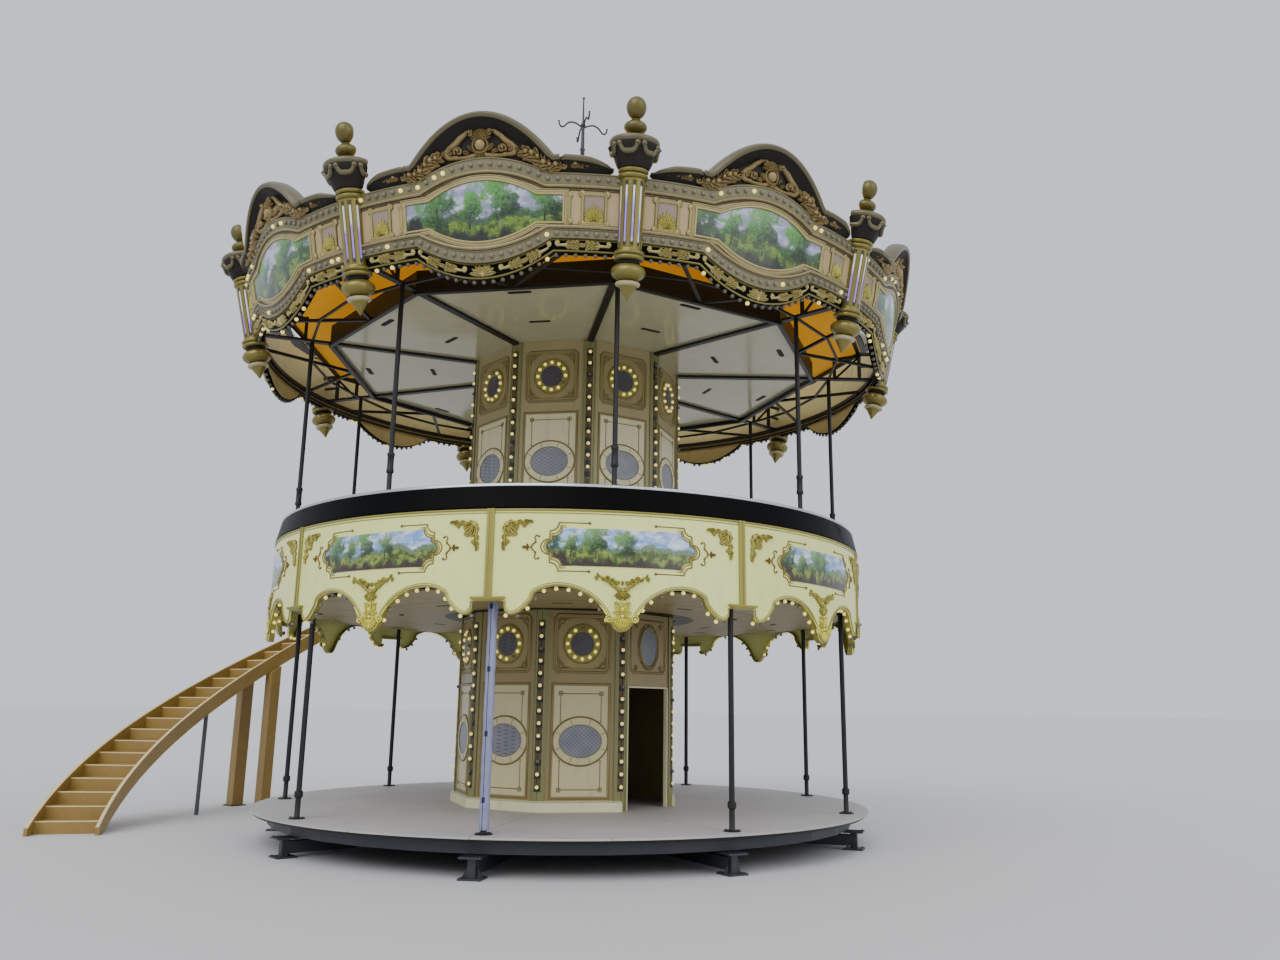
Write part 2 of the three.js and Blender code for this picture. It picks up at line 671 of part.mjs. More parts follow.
// Turning pieces: the upper storey
addPiece('upper_deck', upperDeck(), 'deckRim');
addPiece('deck_rim', deckRim(), 'deckRim');
const upperWall = coreWall(
  UPPER_CORE_RADIUS, WALL, DECK_TOP + GAP, BEAM_TOP, UPPER_START, BAYS);
addPiece('core_upper_wall', upperWall, 'coreCream');
addPiece('upper_frame', upperFrame(), 'black');
addPiece('upper_ceiling', upperCeiling(), 'ceiling');
bearingsFrom(UPPER_START).forEach((bearing, i) => {
  addPiece(`crown_post_${i + 1}`, crownPost(bearing), 'crownPost');
  addPiece(`crown_board_${i + 1}`, crownBoard(bearing + BAY_ANGLE / 2), 'crown');
});
addPiece('roof', roof(), 'roof');
addPiece('roof_mast', roofMast(), 'iron');

export default carousel;
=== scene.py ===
"""Looks of a double-deck fairground carousel, laid out as a Blender add-on.

The CAD frame is loaded first. Each operator then builds one piece or group of pieces over it,
in metres and in the same frame: the ground is at z = 0, the carousel turns about the z axis,
and bearing 0 faces -Y. Bearings grow towards +X.

A bay's pieces are drawn flat as (along, up, proud): the distance along the wall from the bay's
middle, the height above the ground and the distance in front of the wall.
"""

import math

import bmesh
import bpy
import numpy as np
from mathutils import Matrix, Vector


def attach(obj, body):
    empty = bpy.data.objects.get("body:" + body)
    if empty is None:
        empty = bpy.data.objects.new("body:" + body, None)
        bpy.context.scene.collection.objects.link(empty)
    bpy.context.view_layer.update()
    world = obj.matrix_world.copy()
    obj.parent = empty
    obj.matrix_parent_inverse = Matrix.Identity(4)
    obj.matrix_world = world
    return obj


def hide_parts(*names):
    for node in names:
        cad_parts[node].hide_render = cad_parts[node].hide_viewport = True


bl_info = {
    "name": "Double-Deck Fairground Carousel",
    "version": (1, 0, 0),
    "blender": (4, 5, 0),
    "location": "View3D > Sidebar > Carousel",
    "description": "Dresses the carousel's CAD frame with boards, carving, bulbs and finishes",
    "category": "Object",
}

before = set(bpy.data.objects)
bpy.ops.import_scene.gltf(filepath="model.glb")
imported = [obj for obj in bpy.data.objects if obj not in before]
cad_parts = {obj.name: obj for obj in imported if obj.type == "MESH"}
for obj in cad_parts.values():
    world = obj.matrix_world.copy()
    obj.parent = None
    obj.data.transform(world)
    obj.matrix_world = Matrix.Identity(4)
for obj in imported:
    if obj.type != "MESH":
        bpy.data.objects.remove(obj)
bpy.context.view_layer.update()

TURNING = "turntable"
FIXED = "ground_base"
BAYS = 9
BAY_ANGLE = math.radians(40)
LOWER_START = BAY_ANGLE / 2
LOWER_TURN = math.radians(1)

# Heights and radii that the CAD model also has, in metres
PLATFORM_TOP = 0.45
LOWER_CEILING = 3.15
FASCIA_TOP = 4.05
DECK_TOP = 4.36
BEAM_BOTTOM = 7.11
BEAM_TOP = 7.15
PLATFORM_RADIUS = 4.42
LOWER_POST_RING = 4.15
JACK_RING = 4.25
FASCIA_RADIUS = 4.4
POLE_RING = 4.136
CHORD_RING = 3.87
EAVES_RING = 4.65
ROOF_RIM = 4.68
ROOF_RIM_Z = 7.6
ROOF_APEX = 10.6
MAST_TOP = 12.25
CORE_RADIUS = 1.665
UPPER_CORE_RADIUS = 1.66
CROWN_Z = 7.02
CROWN_RADIUS = 4.94
CROWN_LEAN = 0.203
CROWN_ARC = 5.0
CROWN_HALF_BAY = CROWN_ARC * BAY_ANGLE / 2
FASCIA_HALF_BAY = FASCIA_RADIUS * BAY_ANGLE / 2
POST_LEAN = 0.22
POST_BACK = 0.035
DOOR_BEARING = BAY_ANGLE
DOOR_TOP = 2.12
STAIR_CENTRE = Vector((-1.996, 0.579))
STAIR_RADIUS = 4.99
STAIR_START = math.radians(183.65)
STAIR_WIDTH = 0.95
STAIR_RISERS = 25
STAIR_GOING = 0.311
STAIR_RISE = DECK_TOP / STAIR_RISERS
STAIR_FIRST_RISER = 0.24
STRINGER = 0.045
STAIR_LEG_RUN = 4.62

BOARD_BACK = -0.1
BOARD_FACE = -0.035
CREST_FACE = -0.03
FASCIA_BOARD = 0.015
CAPITAL_TOP = 3.03
PILASTER_TOP = FASCIA_TOP - 0.0005
FASCIA_PICTURE = (3.392, 3.824)
SMOOTH_RING = 216
CARVING_ANGLE = 50

CAMERA_PLACE = Vector((-1.8421, -15.7024, 1.8257))
CAMERA_HEADING = math.radians(79.459)
CAMERA_PITCH = math.radians(12.72)
CAMERA_ROLL = 0.0118
CAMERA_LENS = 28.40


def srgb(red, green, blue):
    """A colour's linear values from its screen values, 0 to 255."""
    return tuple(((c / 255 + 0.055) / 1.055) ** 2.4 for c in (red, green, blue))


# Sizes and colours that a user may change


def colour_property(name, description, value):
    return bpy.props.FloatVectorProperty(
        name=name, description=description, subtype="COLOR", size=3,
        min=0.0, max=1.0, default=srgb(*value))


def length_property(name, description, value):
    return bpy.props.FloatProperty(
        name=name, description=description, default=value, min=0.001, unit="LENGTH")


class CarouselSizes(bpy.types.PropertyGroup):
    """Sizes of the trim."""

    bulb_spacing: length_property("Bulb Spacing", "Distance between crown bulbs", 0.115)
    bulb_radius: length_property("Bulb Radius", "Radius of a crown bulb", 0.028)
    skirt_bulb_radius: length_property("Skirt Bulb Radius", "Radius of a hanging bulb", 0.027)
    fascia_bulb_spacing: length_property("Fascia Spacing", "Distance between scallop bulbs", 0.135)
    fascia_bulb_radius: length_property("Fascia Bulb Radius", "Radius of a scallop bulb", 0.024)
    core_bulb_spacing: length_property("Core Spacing", "Distance between corner bulbs", 0.167)
    core_bulb_radius: length_property("Core Bulb Radius", "Radius of a core bulb", 0.025)
    picture_depth: length_property("Picture Depth", "Thickness of a picture panel", 0.008)
    crown_lit_share: bpy.props.FloatProperty(
        name="Crown Lit Share", description="Share of the crown bulbs that are lit",
        default=0.16, min=0.0, max=1.0, subtype="FACTOR")


class CarouselColours(bpy.types.PropertyGroup):
    """Colours of the paints."""

    cream: colour_property("Cream", "Fascia paint", (232, 238, 146))
    core_cream: colour_property("Core Cream", "Paint of the core's walls", (166, 155, 110))
    # One panel paint in two tones: the upper storey's is paler, as painted light.
    panel_low: colour_property("Lower Panels", "Panels of the lower core", (203, 193, 148))
    panel_high: colour_property("Upper Panels", "Panels of the upper core", (222, 214, 170))
    gold: colour_property("Gold", "Trim paint", (150, 142, 66))
    old_gold: colour_property("Old Gold", "Carving on the crown", (142, 124, 82))
    pale_gold: colour_property("Pale Gold", "Leaves of the skirt", (178, 166, 108))
    palm: colour_property("Palm", "Palms in the crown's end panels", (186, 178, 96))
    cove: colour_property("Cove", "Coves round the crown pictures", (148, 134, 92))
    rose: colour_property("Rose", "Ground of the crown's end panels", (150, 132, 120))
    line_gold: colour_property("Line Gold", "Painted mouldings of the core", (138, 124, 78))
    post_gold: colour_property("Post Gold", "Crown posts", (130, 120, 60))
    rim_gold: colour_property("Rim Gold", "Crest rims and frames", (102, 95, 68))
    beige: colour_property("Beige", "Crown boards", (182, 160, 116))
    bronze: colour_property("Bronze", "Crown mouldings", (140, 126, 84))
    strip: colour_property("Strip", "Strips under the crown bulbs", (126, 120, 88))
    black: colour_property("Black", "Skirt and rim of the deck", (3, 3, 3))
    crest: colour_property("Crest", "Crests and urns", (44, 41, 37))
    steel: colour_property("Steel", "Poles, posts and beams", (5, 5, 6))
    iron: colour_property("Iron", "Frames near the ground", (19, 18, 18))
    platform: colour_property("Platform", "Floor sheets", (178, 173, 170))
    ceiling: colour_property("Ceiling", "Ceiling panels", (180, 178, 144))
    inside: colour_property("Inside", "Backs of the boards", (172, 162, 104))
    roof: colour_property("Roof", "Roof sheet", (246, 176, 16))
    stair: colour_property("Stair", "Stair paint", (148, 120, 60))
    nosing: colour_property("Nosing", "Worn edges of the stair", (226, 204, 150))


def sizes():
    return bpy.context.scene.carousel_sizes


def colour(name):
    return tuple(getattr(bpy.context.scene.carousel_colours, name))


# Shader sums


def shade_sum(operation):
    """A method of Shade that adds a Math node."""
    return lambda shade, *others: shade.math(operation, shade, *others)


class Shade:
    """A socket in a material, which takes part in Python sums by adding Math nodes."""

    def __init__(self, recipe, socket):
        self.recipe = recipe
        self.socket = socket

    def math(self, operation, *values):
        return self.recipe.node(
            "ShaderNodeMath", {"operation": operation}, dict(enumerate(values)))

    __add__ = __radd__ = shade_sum("ADD")
    __sub__ = shade_sum("SUBTRACT")
    __mul__ = __rmul__ = shade_sum("MULTIPLY")
    __truediv__ = shade_sum("DIVIDE")
    __gt__ = shade_sum("GREATER_THAN")
    __lt__ = shade_sum("LESS_THAN")
    size = shade_sum("ABSOLUTE")
    wave = shade_sum("SINE")
    root = shade_sum("SQRT")
    remainder = shade_sum("FRACT")
    most = shade_sum("MAXIMUM")

    def __rsub__(self, other):
        return self.math("SUBTRACT", other, self)

    def step(self, low, high):
        """0 below low and 1 above high, with a smooth change between them."""
        return self.recipe.node(
            "ShaderNodeMapRange", {"interpolation_type": "SMOOTHSTEP"},
            {"Value": self, "From Min": low, "From Max": high})


class Recipe:
    """A new material, and the one method that adds nodes to it."""

    def __init__(self, name):
        self.material = bpy.data.materials.new(name)
        self.material.use_nodes = True
        self.tree = self.material.node_tree
        self.tree.nodes.clear()
        self.place = self.node("ShaderNodeTexCoord", output="Object")

    def node(self, kind, settings=None, inputs=None, output=0):
        made = self.tree.nodes.new(kind)
        for key, value in (settings or {}).items():
            setattr(made, key, value)
        for key, value in (inputs or {}).items():
            socket = made.inputs[key]
            if isinstance(value, Shade):
                self.tree.links.new(value.socket, socket)
            elif socket.type == "RGBA" and len(value) == 3:
                socket.default_value = (*value, 1.0)
            else:
                socket.default_value = value
        return Shade(self, made.outputs[output]) if len(made.outputs) else None

    def noise(self, scale, detail=3.0, rough=0.5, where=None, stretch=(1, 1, 1)):
        where = where or self.place
        if stretch != (1, 1, 1):
            where = self.node("ShaderNodeMapping", {}, {"Vector": where, "Scale": stretch})
        return self.node(
            "ShaderNodeTexNoise", {},
            {"Vector": where, "Scale": scale, "Detail": detail, "Roughness": rough})

    def mix(self, factor, first, second):
        return self.node(
            "ShaderNodeMix", {"data_type": "RGBA"}, {0: factor, 6: first, 7: second}, output=2)

    def parts(self, vector):
        made = self.node("ShaderNodeSeparateXYZ", {}, {0: vector})
        outputs = made.socket.node.outputs
        return [Shade(self, outputs[i]) for i in range(3)]

    def point(self, x, y, z=0.0):
        return self.node("ShaderNodeCombineXYZ", {}, {0: x, 1: y, 2: z})

    def attribute(self, name):
        return self.node("ShaderNodeAttribute", {"attribute_name": name}, output="Fac")

    def surface(self, base, roughness, metallic=0.0, bump=None, depth=0.002, glow=None, **fixed):
        inputs = {"Base Color": base, "Roughness": roughness, "Metallic": metallic}
        if bump is not None:
            inputs["Normal"] = self.node(
                "ShaderNodeBump", {}, {"Strength": 1.0, "Distance": depth, "Height": bump})
        if glow is not None:
            inputs["Emission Color"] = glow
        for key, value in fixed.items():
            inputs[key.replace("_", " ").title().replace("Ior", "IOR")] = value
        shader = self.node("ShaderNodeBsdfPrincipled", {}, inputs)
        self.node("ShaderNodeOutputMaterial", {}, {"Surface": shader})
        return self.material


# Finishes


def shaded(base, amount):
    """A colour made darker (below 1) or lighter (above 1)."""
    return tuple(min(1.0, c * amount) for c in base)


def painted(name, base, roughness=0.4, metallic=0.0, coat=0.0, mottle=0.10, dirt=0.18,
            dirt_colour=(0.16, 0.13, 0.10), peel=0.0006):
    """Sprayed paint: cloudy colour, dusty streaks, orange peel and uneven gloss."""
    recipe = Recipe(name)
    cloud = recipe.noise(1.7, 5.0)
    speck = recipe.noise(26.0, 4.0, 0.6)
    streak = recipe.noise(2.2, 5.0, 0.6, stretch=(3.0, 3.0, 0.45)).step(0.52, 0.74)
    tone = recipe.mix(cloud, shaded(base, 1 - mottle), shaded(base, 1 + mottle))
    tone = recipe.mix(speck.step(0.58, 0.75) * 0.25, tone, shaded(base, 0.72))
    tone = recipe.mix(streak * dirt, tone, dirt_colour)
    return recipe.surface(
        tone, roughness + (cloud - 0.5) * 0.25 + streak * 0.12, metallic,
        bump=recipe.noise(90.0, 2.0), depth=peel, coat_weight=coat, coat_roughness=0.12)


def carved(name, base, metallic=0.35, hollow_shade=0.24):
    """Gilded carving: painted highlight on its ridges and painted shade in its hollows, by the
    relief attribute.
    """
    recipe = Recipe(name)
    relief = recipe.attribute("relief")
    # Noise that breaks up the edge of the painted highlight and gives the gilding its bump.
    ridge_noise = recipe.noise(34.0, 4.0, 0.6)
    ridge = (relief + (ridge_noise - 0.5) * 0.5).step(0.15, 0.85)
    # Painted light: the ridges get a painted highlight and the hollows painted shade.
    tone = recipe.mix(ridge, shaded(base, hollow_shade), shaded(base, 1.25))
    tone = recipe.mix(recipe.noise(5.0, 3.0).step(0.5, 0.8) * 0.35, tone, shaded(base, 0.6))
    return recipe.surface(
        tone, 0.52 - ridge * 0.18, metallic, bump=ridge_noise, depth=0.003)


def glossy_black(name, base, shine=0.05):
    recipe = Recipe(name)
    dust = recipe.noise(3.0, 6.0, 0.65).step(0.55, 0.85)
    tone = recipe.mix(dust * 0.15, base, (0.020, 0.019, 0.018))
    return recipe.surface(
        tone, 0.40 + dust * 0.3, bump=recipe.noise(60.0, 2.0), depth=0.0005,
        specular_ior_level=shine)


def light_strip(name):
    """The silvery strip behind the crown's bulbs, with sparkle and faint dark seams."""
    recipe = Recipe(name)
    sparkle = recipe.noise(70.0, 3.0, 0.7)
    cloud = recipe.noise(4.0, 4.0)
    tone = recipe.mix(cloud, shaded(colour("strip"), 0.72), shaded(colour("strip"), 1.15))
    tone = recipe.mix(sparkle.step(0.55, 0.7) * 0.5, tone, shaded(colour("strip"), 0.45))
    return recipe.surface(tone, 0.3 + cloud * 0.2, 0.25, bump=sparkle, depth=0.002)


def checked_slot(name):
    """The dark recess behind a row of bulbs, with a brown check between each two."""
    recipe = Recipe(name)
    _, _, z = recipe.parts(recipe.place)
    cell = ((z / sizes().core_bulb_spacing).remainder() - 0.5).size()
    tone = recipe.mix(cell.step(0.20, 0.24), (0.012, 0.011, 0.010), (0.10, 0.065, 0.022))
    return recipe.surface(tone, 0.45)


def bulb_glass(name, dark=(0.17, 0.155, 0.12), glow=0.9, roughness=0.42, coat=0.1):
    """Frosted bulbs: the lit attribute says which of them glow."""
    recipe = Recipe(name)
    lit = recipe.attribute("lit")
    cloud = recipe.noise(60.0, 2.0)
    unlit = recipe.mix(cloud, shaded(dark, 0.6), shaded(dark, 1.5))
    base = recipe.mix(lit, unlit, (0.80, 0.68, 0.26))
    light = recipe.mix(lit, (0.0, 0.0, 0.0), (0.90, 0.74, 0.20))
    return recipe.surface(
        base, roughness + cloud * 0.1, glow=light, emission_strength=glow,
        coat_weight=coat, coat_roughness=0.1)


def steel_paint(name, base):
    """Black gloss on steel with dust, small chips and rust freckles."""
    recipe = Recipe(name)
    dust = recipe.noise(5.0, 5.0, 0.6).step(0.5, 0.85)
    chip = recipe.noise(46.0, 5.0, 0.7).step(0.68, 0.72)
    tone = recipe.mix(dust * 0.3, base, shaded(base, 3.0))
    tone = recipe.mix(chip * 0.5, tone, (0.12, 0.07, 0.04))
    return recipe.surface(
        tone, 0.28 + dust * 0.3, bump=recipe.noise(30.0, 4.0) - chip * 0.4, depth=0.0010,
        specular_ior_level=0.06)


def platform_sheet(name):
    """Floor sheets: pale dusty grey with scuffs and the seams of nine wedges."""
    recipe = Recipe(name)
    x, y, _ = recipe.parts(recipe.place)
    radius = (x * x + y * y).root()
    bearing = recipe.node("ShaderNodeMath", {"operation": "ARCTAN2"}, {0: x, 1: y})
    turn = (bearing / BAY_ANGLE + 100.5).remainder()
    seam = 1 - ((turn - 0.5).size() * radius * BAY_ANGLE).step(0.004, 0.009)
    scuff = recipe.noise(7.0, 7.0, 0.7)
    cloud = recipe.noise(0.9, 5.0)
    base = colour("platform")
    tone = recipe.mix(cloud, shaded(base, 0.80), shaded(base, 1.12))
    tone = recipe.mix(scuff.step(0.55, 0.72) * 0.3, tone, (0.24, 0.20, 0.16))
    tone = recipe.mix(recipe.noise(55.0, 3.0).step(0.6, 0.7) * 0.3, tone, shaded(base, 1.35))
    tone = recipe.mix(seam * 0.6, tone, (0.08, 0.08, 0.08))
    return recipe.surface(
        tone, 0.55 + scuff * 0.25, bump=scuff * 0.3 - seam, depth=0.002)


def ceiling_panel(name, base, roughness=0.10, seams=False):
    """Glossy panels, faintly clouded, with dark joints and painted shade near the core on the lower
    storey.
    """
    recipe = Recipe(name)
    cloud = recipe.noise(1.1, 5.0)
    tone = recipe.mix(cloud, shaded(base, 0.86), shaded(base, 1.08))
    tone = recipe.mix(recipe.noise(9.0, 5.0, 0.7).step(0.6, 0.8) * 0.2, tone, shaded(base, 0.7))
    if seams:
        x, y, _ = recipe.parts(recipe.place)
        radius = (x * x + y * y).root()
        line = 1 - ((radius - 2.9).size()).step(0.008, 0.014)
        tone = recipe.mix(line * 0.8, tone, shaded(base, 0.1))
        # Painted shade: near black inside a radius of 1.92 m, next to the core.
        tone = recipe.mix((1.92 - radius).step(0.0, 0.02), tone, shaded(base, 0.07))
    return recipe.surface(
        tone, roughness + cloud * 0.08, bump=recipe.noise(2.3, 2.0), depth=0.006,
        specular_ior_level=0.5 if not seams else 0.06)


def stair_paint(name, base, wear_colour):
    """Brush-painted steel: sun-bleached, scuffed and dusty underfoot."""
    recipe = Recipe(name)
    cloud = recipe.noise(2.4, 5.0)
    scuff = recipe.noise(15.0, 6.0, 0.7).step(0.56, 0.7)
    brush = recipe.noise(30.0, 3.0, stretch=(1.0, 1.0, 0.2))
    tone = recipe.mix(cloud, shaded(base, 0.78), shaded(base, 1.15))
    tone = recipe.mix(scuff * 0.16, tone, wear_colour)
    tone = recipe.mix(recipe.noise(1.1, 4.0).step(0.55, 0.8) * 0.35, tone, (0.20, 0.12, 0.06))
    return recipe.surface(tone, 0.42 + scuff * 0.25, bump=brush + scuff * 0.5, depth=0.0015)


def roof_sheet(name):
    """Orange sheet with daylight through it on the underside."""
    recipe = Recipe(name)
    weave = recipe.noise(120.0, 2.0)
    cloud = recipe.noise(0.8, 4.0)
    base = colour("roof")
    tone = recipe.mix(cloud, shaded(base, 0.78), shaded(base, 1.1))
    _, _, up = recipe.parts(recipe.node("ShaderNodeNewGeometry", output="Normal"))
    glow = recipe.mix(cloud, (0.30, 0.14, 0.006), (0.55, 0.29, 0.016))
    glow = recipe.mix(up.step(-0.1, 0.1), glow, (0.0, 0.0, 0.0))
    return recipe.surface(
        tone, 0.55 + cloud * 0.1, bump=weave, depth=0.001, glow=glow, emission_strength=0.6)


def mirror_film(name, low=(0.135, 0.145, 0.170), high=(0.28, 0.29, 0.31), metallic=0.3):
    """A mirror under blue-grey protective film, with a dense print of fine dots."""
    recipe = Recipe(name)
    x, y, z = recipe.parts(recipe.place)
    across = (x * 110 + y * 92).wave()
    dots = (across * (z * 120).wave()).step(0.25, 0.6)
    bubble = recipe.noise(28.0, 4.0, 0.7)
    cloud = recipe.noise(5.0, 3.0)
    tone = recipe.mix(cloud, low, high)
    tone = recipe.mix(dots * 0.55, tone, shaded(low, 0.35))
    return recipe.surface(
        tone, 0.2 + bubble * 0.3, metallic, bump=bubble, depth=0.002)


def post_film(name):
    """Silver-lilac film wrapped round a post, with a blue line, and creases whose light and dark
    streaks are painted sheen and shade.
    """
    recipe = Recipe(name)
    side = recipe.attribute("side")
    height = recipe.attribute("height")
    crease_and_sheen = recipe.noise(16.0, 5.0, 0.65, stretch=(1.0, 1.0, 0.25))
    line = 1 - (side + 0.10).size().step(0.07, 0.08)
    # Painted sheen and shade along the creases; the same noise gives their bump and roughness.
    tone = recipe.mix(crease_and_sheen, (0.16, 0.17, 0.29), (0.34, 0.355, 0.50))
    tone = recipe.mix(line, tone, (0.008, 0.012, 0.06))
    far = ((height / 0.71 + 0.35).remainder() - 0.5).size() * 0.71
    tape = (1 - far.step(0.028, 0.034)) * (1 - (side + 0.10).size().step(0.34, 0.37))
    tone = recipe.mix(tape, tone, (0.012, 0.016, 0.060))
    return recipe.surface(tone, 0.24 + crease_and_sheen * 0.2, 0.2, bump=crease_and_sheen, depth=0.003)


def led_strip(name):
    """Light strips in the flutes: white at their ends and violet in the middle."""
    recipe = Recipe(name)
    height = recipe.attribute("height")
    patch = recipe.noise(2.2, 2.0, stretch=(2.0, 2.0, 1.0))
    violet = (patch + (height * 6.3).wave() * 0.22).step(0.42, 0.62)
    tone = recipe.mix(violet, (0.72, 0.74, 0.80), (0.36, 0.20, 0.80))
    cell = (height * 40).remainder()
    tone = recipe.mix((cell - 0.5).size().step(0.40, 0.48) * 0.4, tone, (0.3, 0.3, 0.34))
    ends = ((height - 0.42).size()).step(0.315, 0.335)
    tone = recipe.mix(ends, tone, (0.03, 0.03, 0.04))
    return recipe.surface(tone, 0.3 + patch * 0.1, glow=tone, emission_strength=0.25)


def landscape(name, sky, far, meadow, canopy, near):
    """A printed landscape of its own design, different in each bay by the bay attribute."""
    recipe = Recipe(name)
    bay = recipe.attribute("bay")
    u, v, _ = recipe.parts(recipe.node("ShaderNodeUVMap", {"uv_map": "panel"}))
    page = recipe.point(u + bay * 7.3, v, bay * 3.1)
    line = recipe.point(u + bay * 7.3, 0.0, bay * 3.1)
    leaf = recipe.noise(60.0, 9.0, 0.85, where=page)
    clump = recipe.noise(15.0, 8.0, 0.75, where=page)
    mass = recipe.noise(4.5, 4.0, 0.55, where=page)
    wide = recipe.noise(1.3, 2.0, where=line)
    tall = recipe.noise(3.4, 3.0, where=line)
    ragged = (leaf - 0.5) * 0.20 + (clump - 0.5) * 0.40
    cloud = recipe.noise(2.4, 6.0, 0.55, where=recipe.point(u + bay * 3.7, v * 2.2, bay))
    tone = recipe.mix(cloud.step(0.36, 0.66), sky[0], sky[1])
    hill = (0.58 + (wide - 0.5) * 0.9 - v + ragged * 0.7).step(0.0, 0.05)
    shade = (clump * 0.7 + leaf * 0.5 - 0.1).step(0.30, 0.70)
    tone = recipe.mix(hill, tone, recipe.mix(shade, *far))
    field = (0.42 + (wide - 0.5) * 0.8 - v + (leaf - 0.5) * 0.05).step(0.0, 0.02)
    blade = recipe.noise(13.0, 9.0, 0.8, where=recipe.point(u + bay * 2.1, v * 3.0, bay))
    glade = recipe.mix(blade.step(0.34, 0.62), *meadow)
    tone = recipe.mix(field, tone, recipe.mix(mass.step(0.40, 0.58) * 0.75, glade, canopy[0]))
    for i, (spot, size, height) in enumerate((
            (0.28, 0.46, 0.72), (0.96, 0.24, 0.60), (1.62, 0.38, 0.74), (2.42, 0.30, 0.66))):
        centre = ((bay * (0.37 + i * 0.23)).remainder() - 0.5) * 0.60 + spot
        bough = (v * 7 + i * 2.0 + bay).wave() * 0.020 + (clump - 0.5) * 0.05
        bole = (u - centre + bough).size()
        reach = 0.006 + 0.016 * size
        bark = recipe.mix((leaf - 0.5 + bough * 12).step(-0.2, 0.3), near[0], (0.20, 0.19, 0.16))
        trunk = (1 - bole.step(reach, reach + 0.008)) * (v < height) * (v > 0.20)
        tone = recipe.mix(trunk, tone, bark)
        across = (u - centre) / size
        up = (v - height) / (size * 1.1)
        crown = (1 - (across * across + up * up).root() + (mass - 0.5) * 2.6
                 + (clump - 0.5) * 2.4 + (leaf - 0.5) * 1.6).step(0.0, 0.25)
        light = (leaf * 1.1 + clump * 1.1 + up * 0.25 - across * 0.15 - 0.62).step(0.25, 0.72)
        tone = recipe.mix(crown * 0.95, tone, recipe.mix(light, *canopy))
    dark = (0.10 + (tall - 0.40) * 0.9 + (0.62 - u).most(0.0) * 0.55 - v
            + ragged * 0.6).step(-0.04, 0.10)
    tone = recipe.mix(dark, tone, recipe.mix((leaf * 0.7 + clump * 0.5).step(0.52, 0.78), *near))
    return recipe.surface(tone, 0.24 + clump * 0.08, coat_weight=0.35, coat_roughness=0.08)


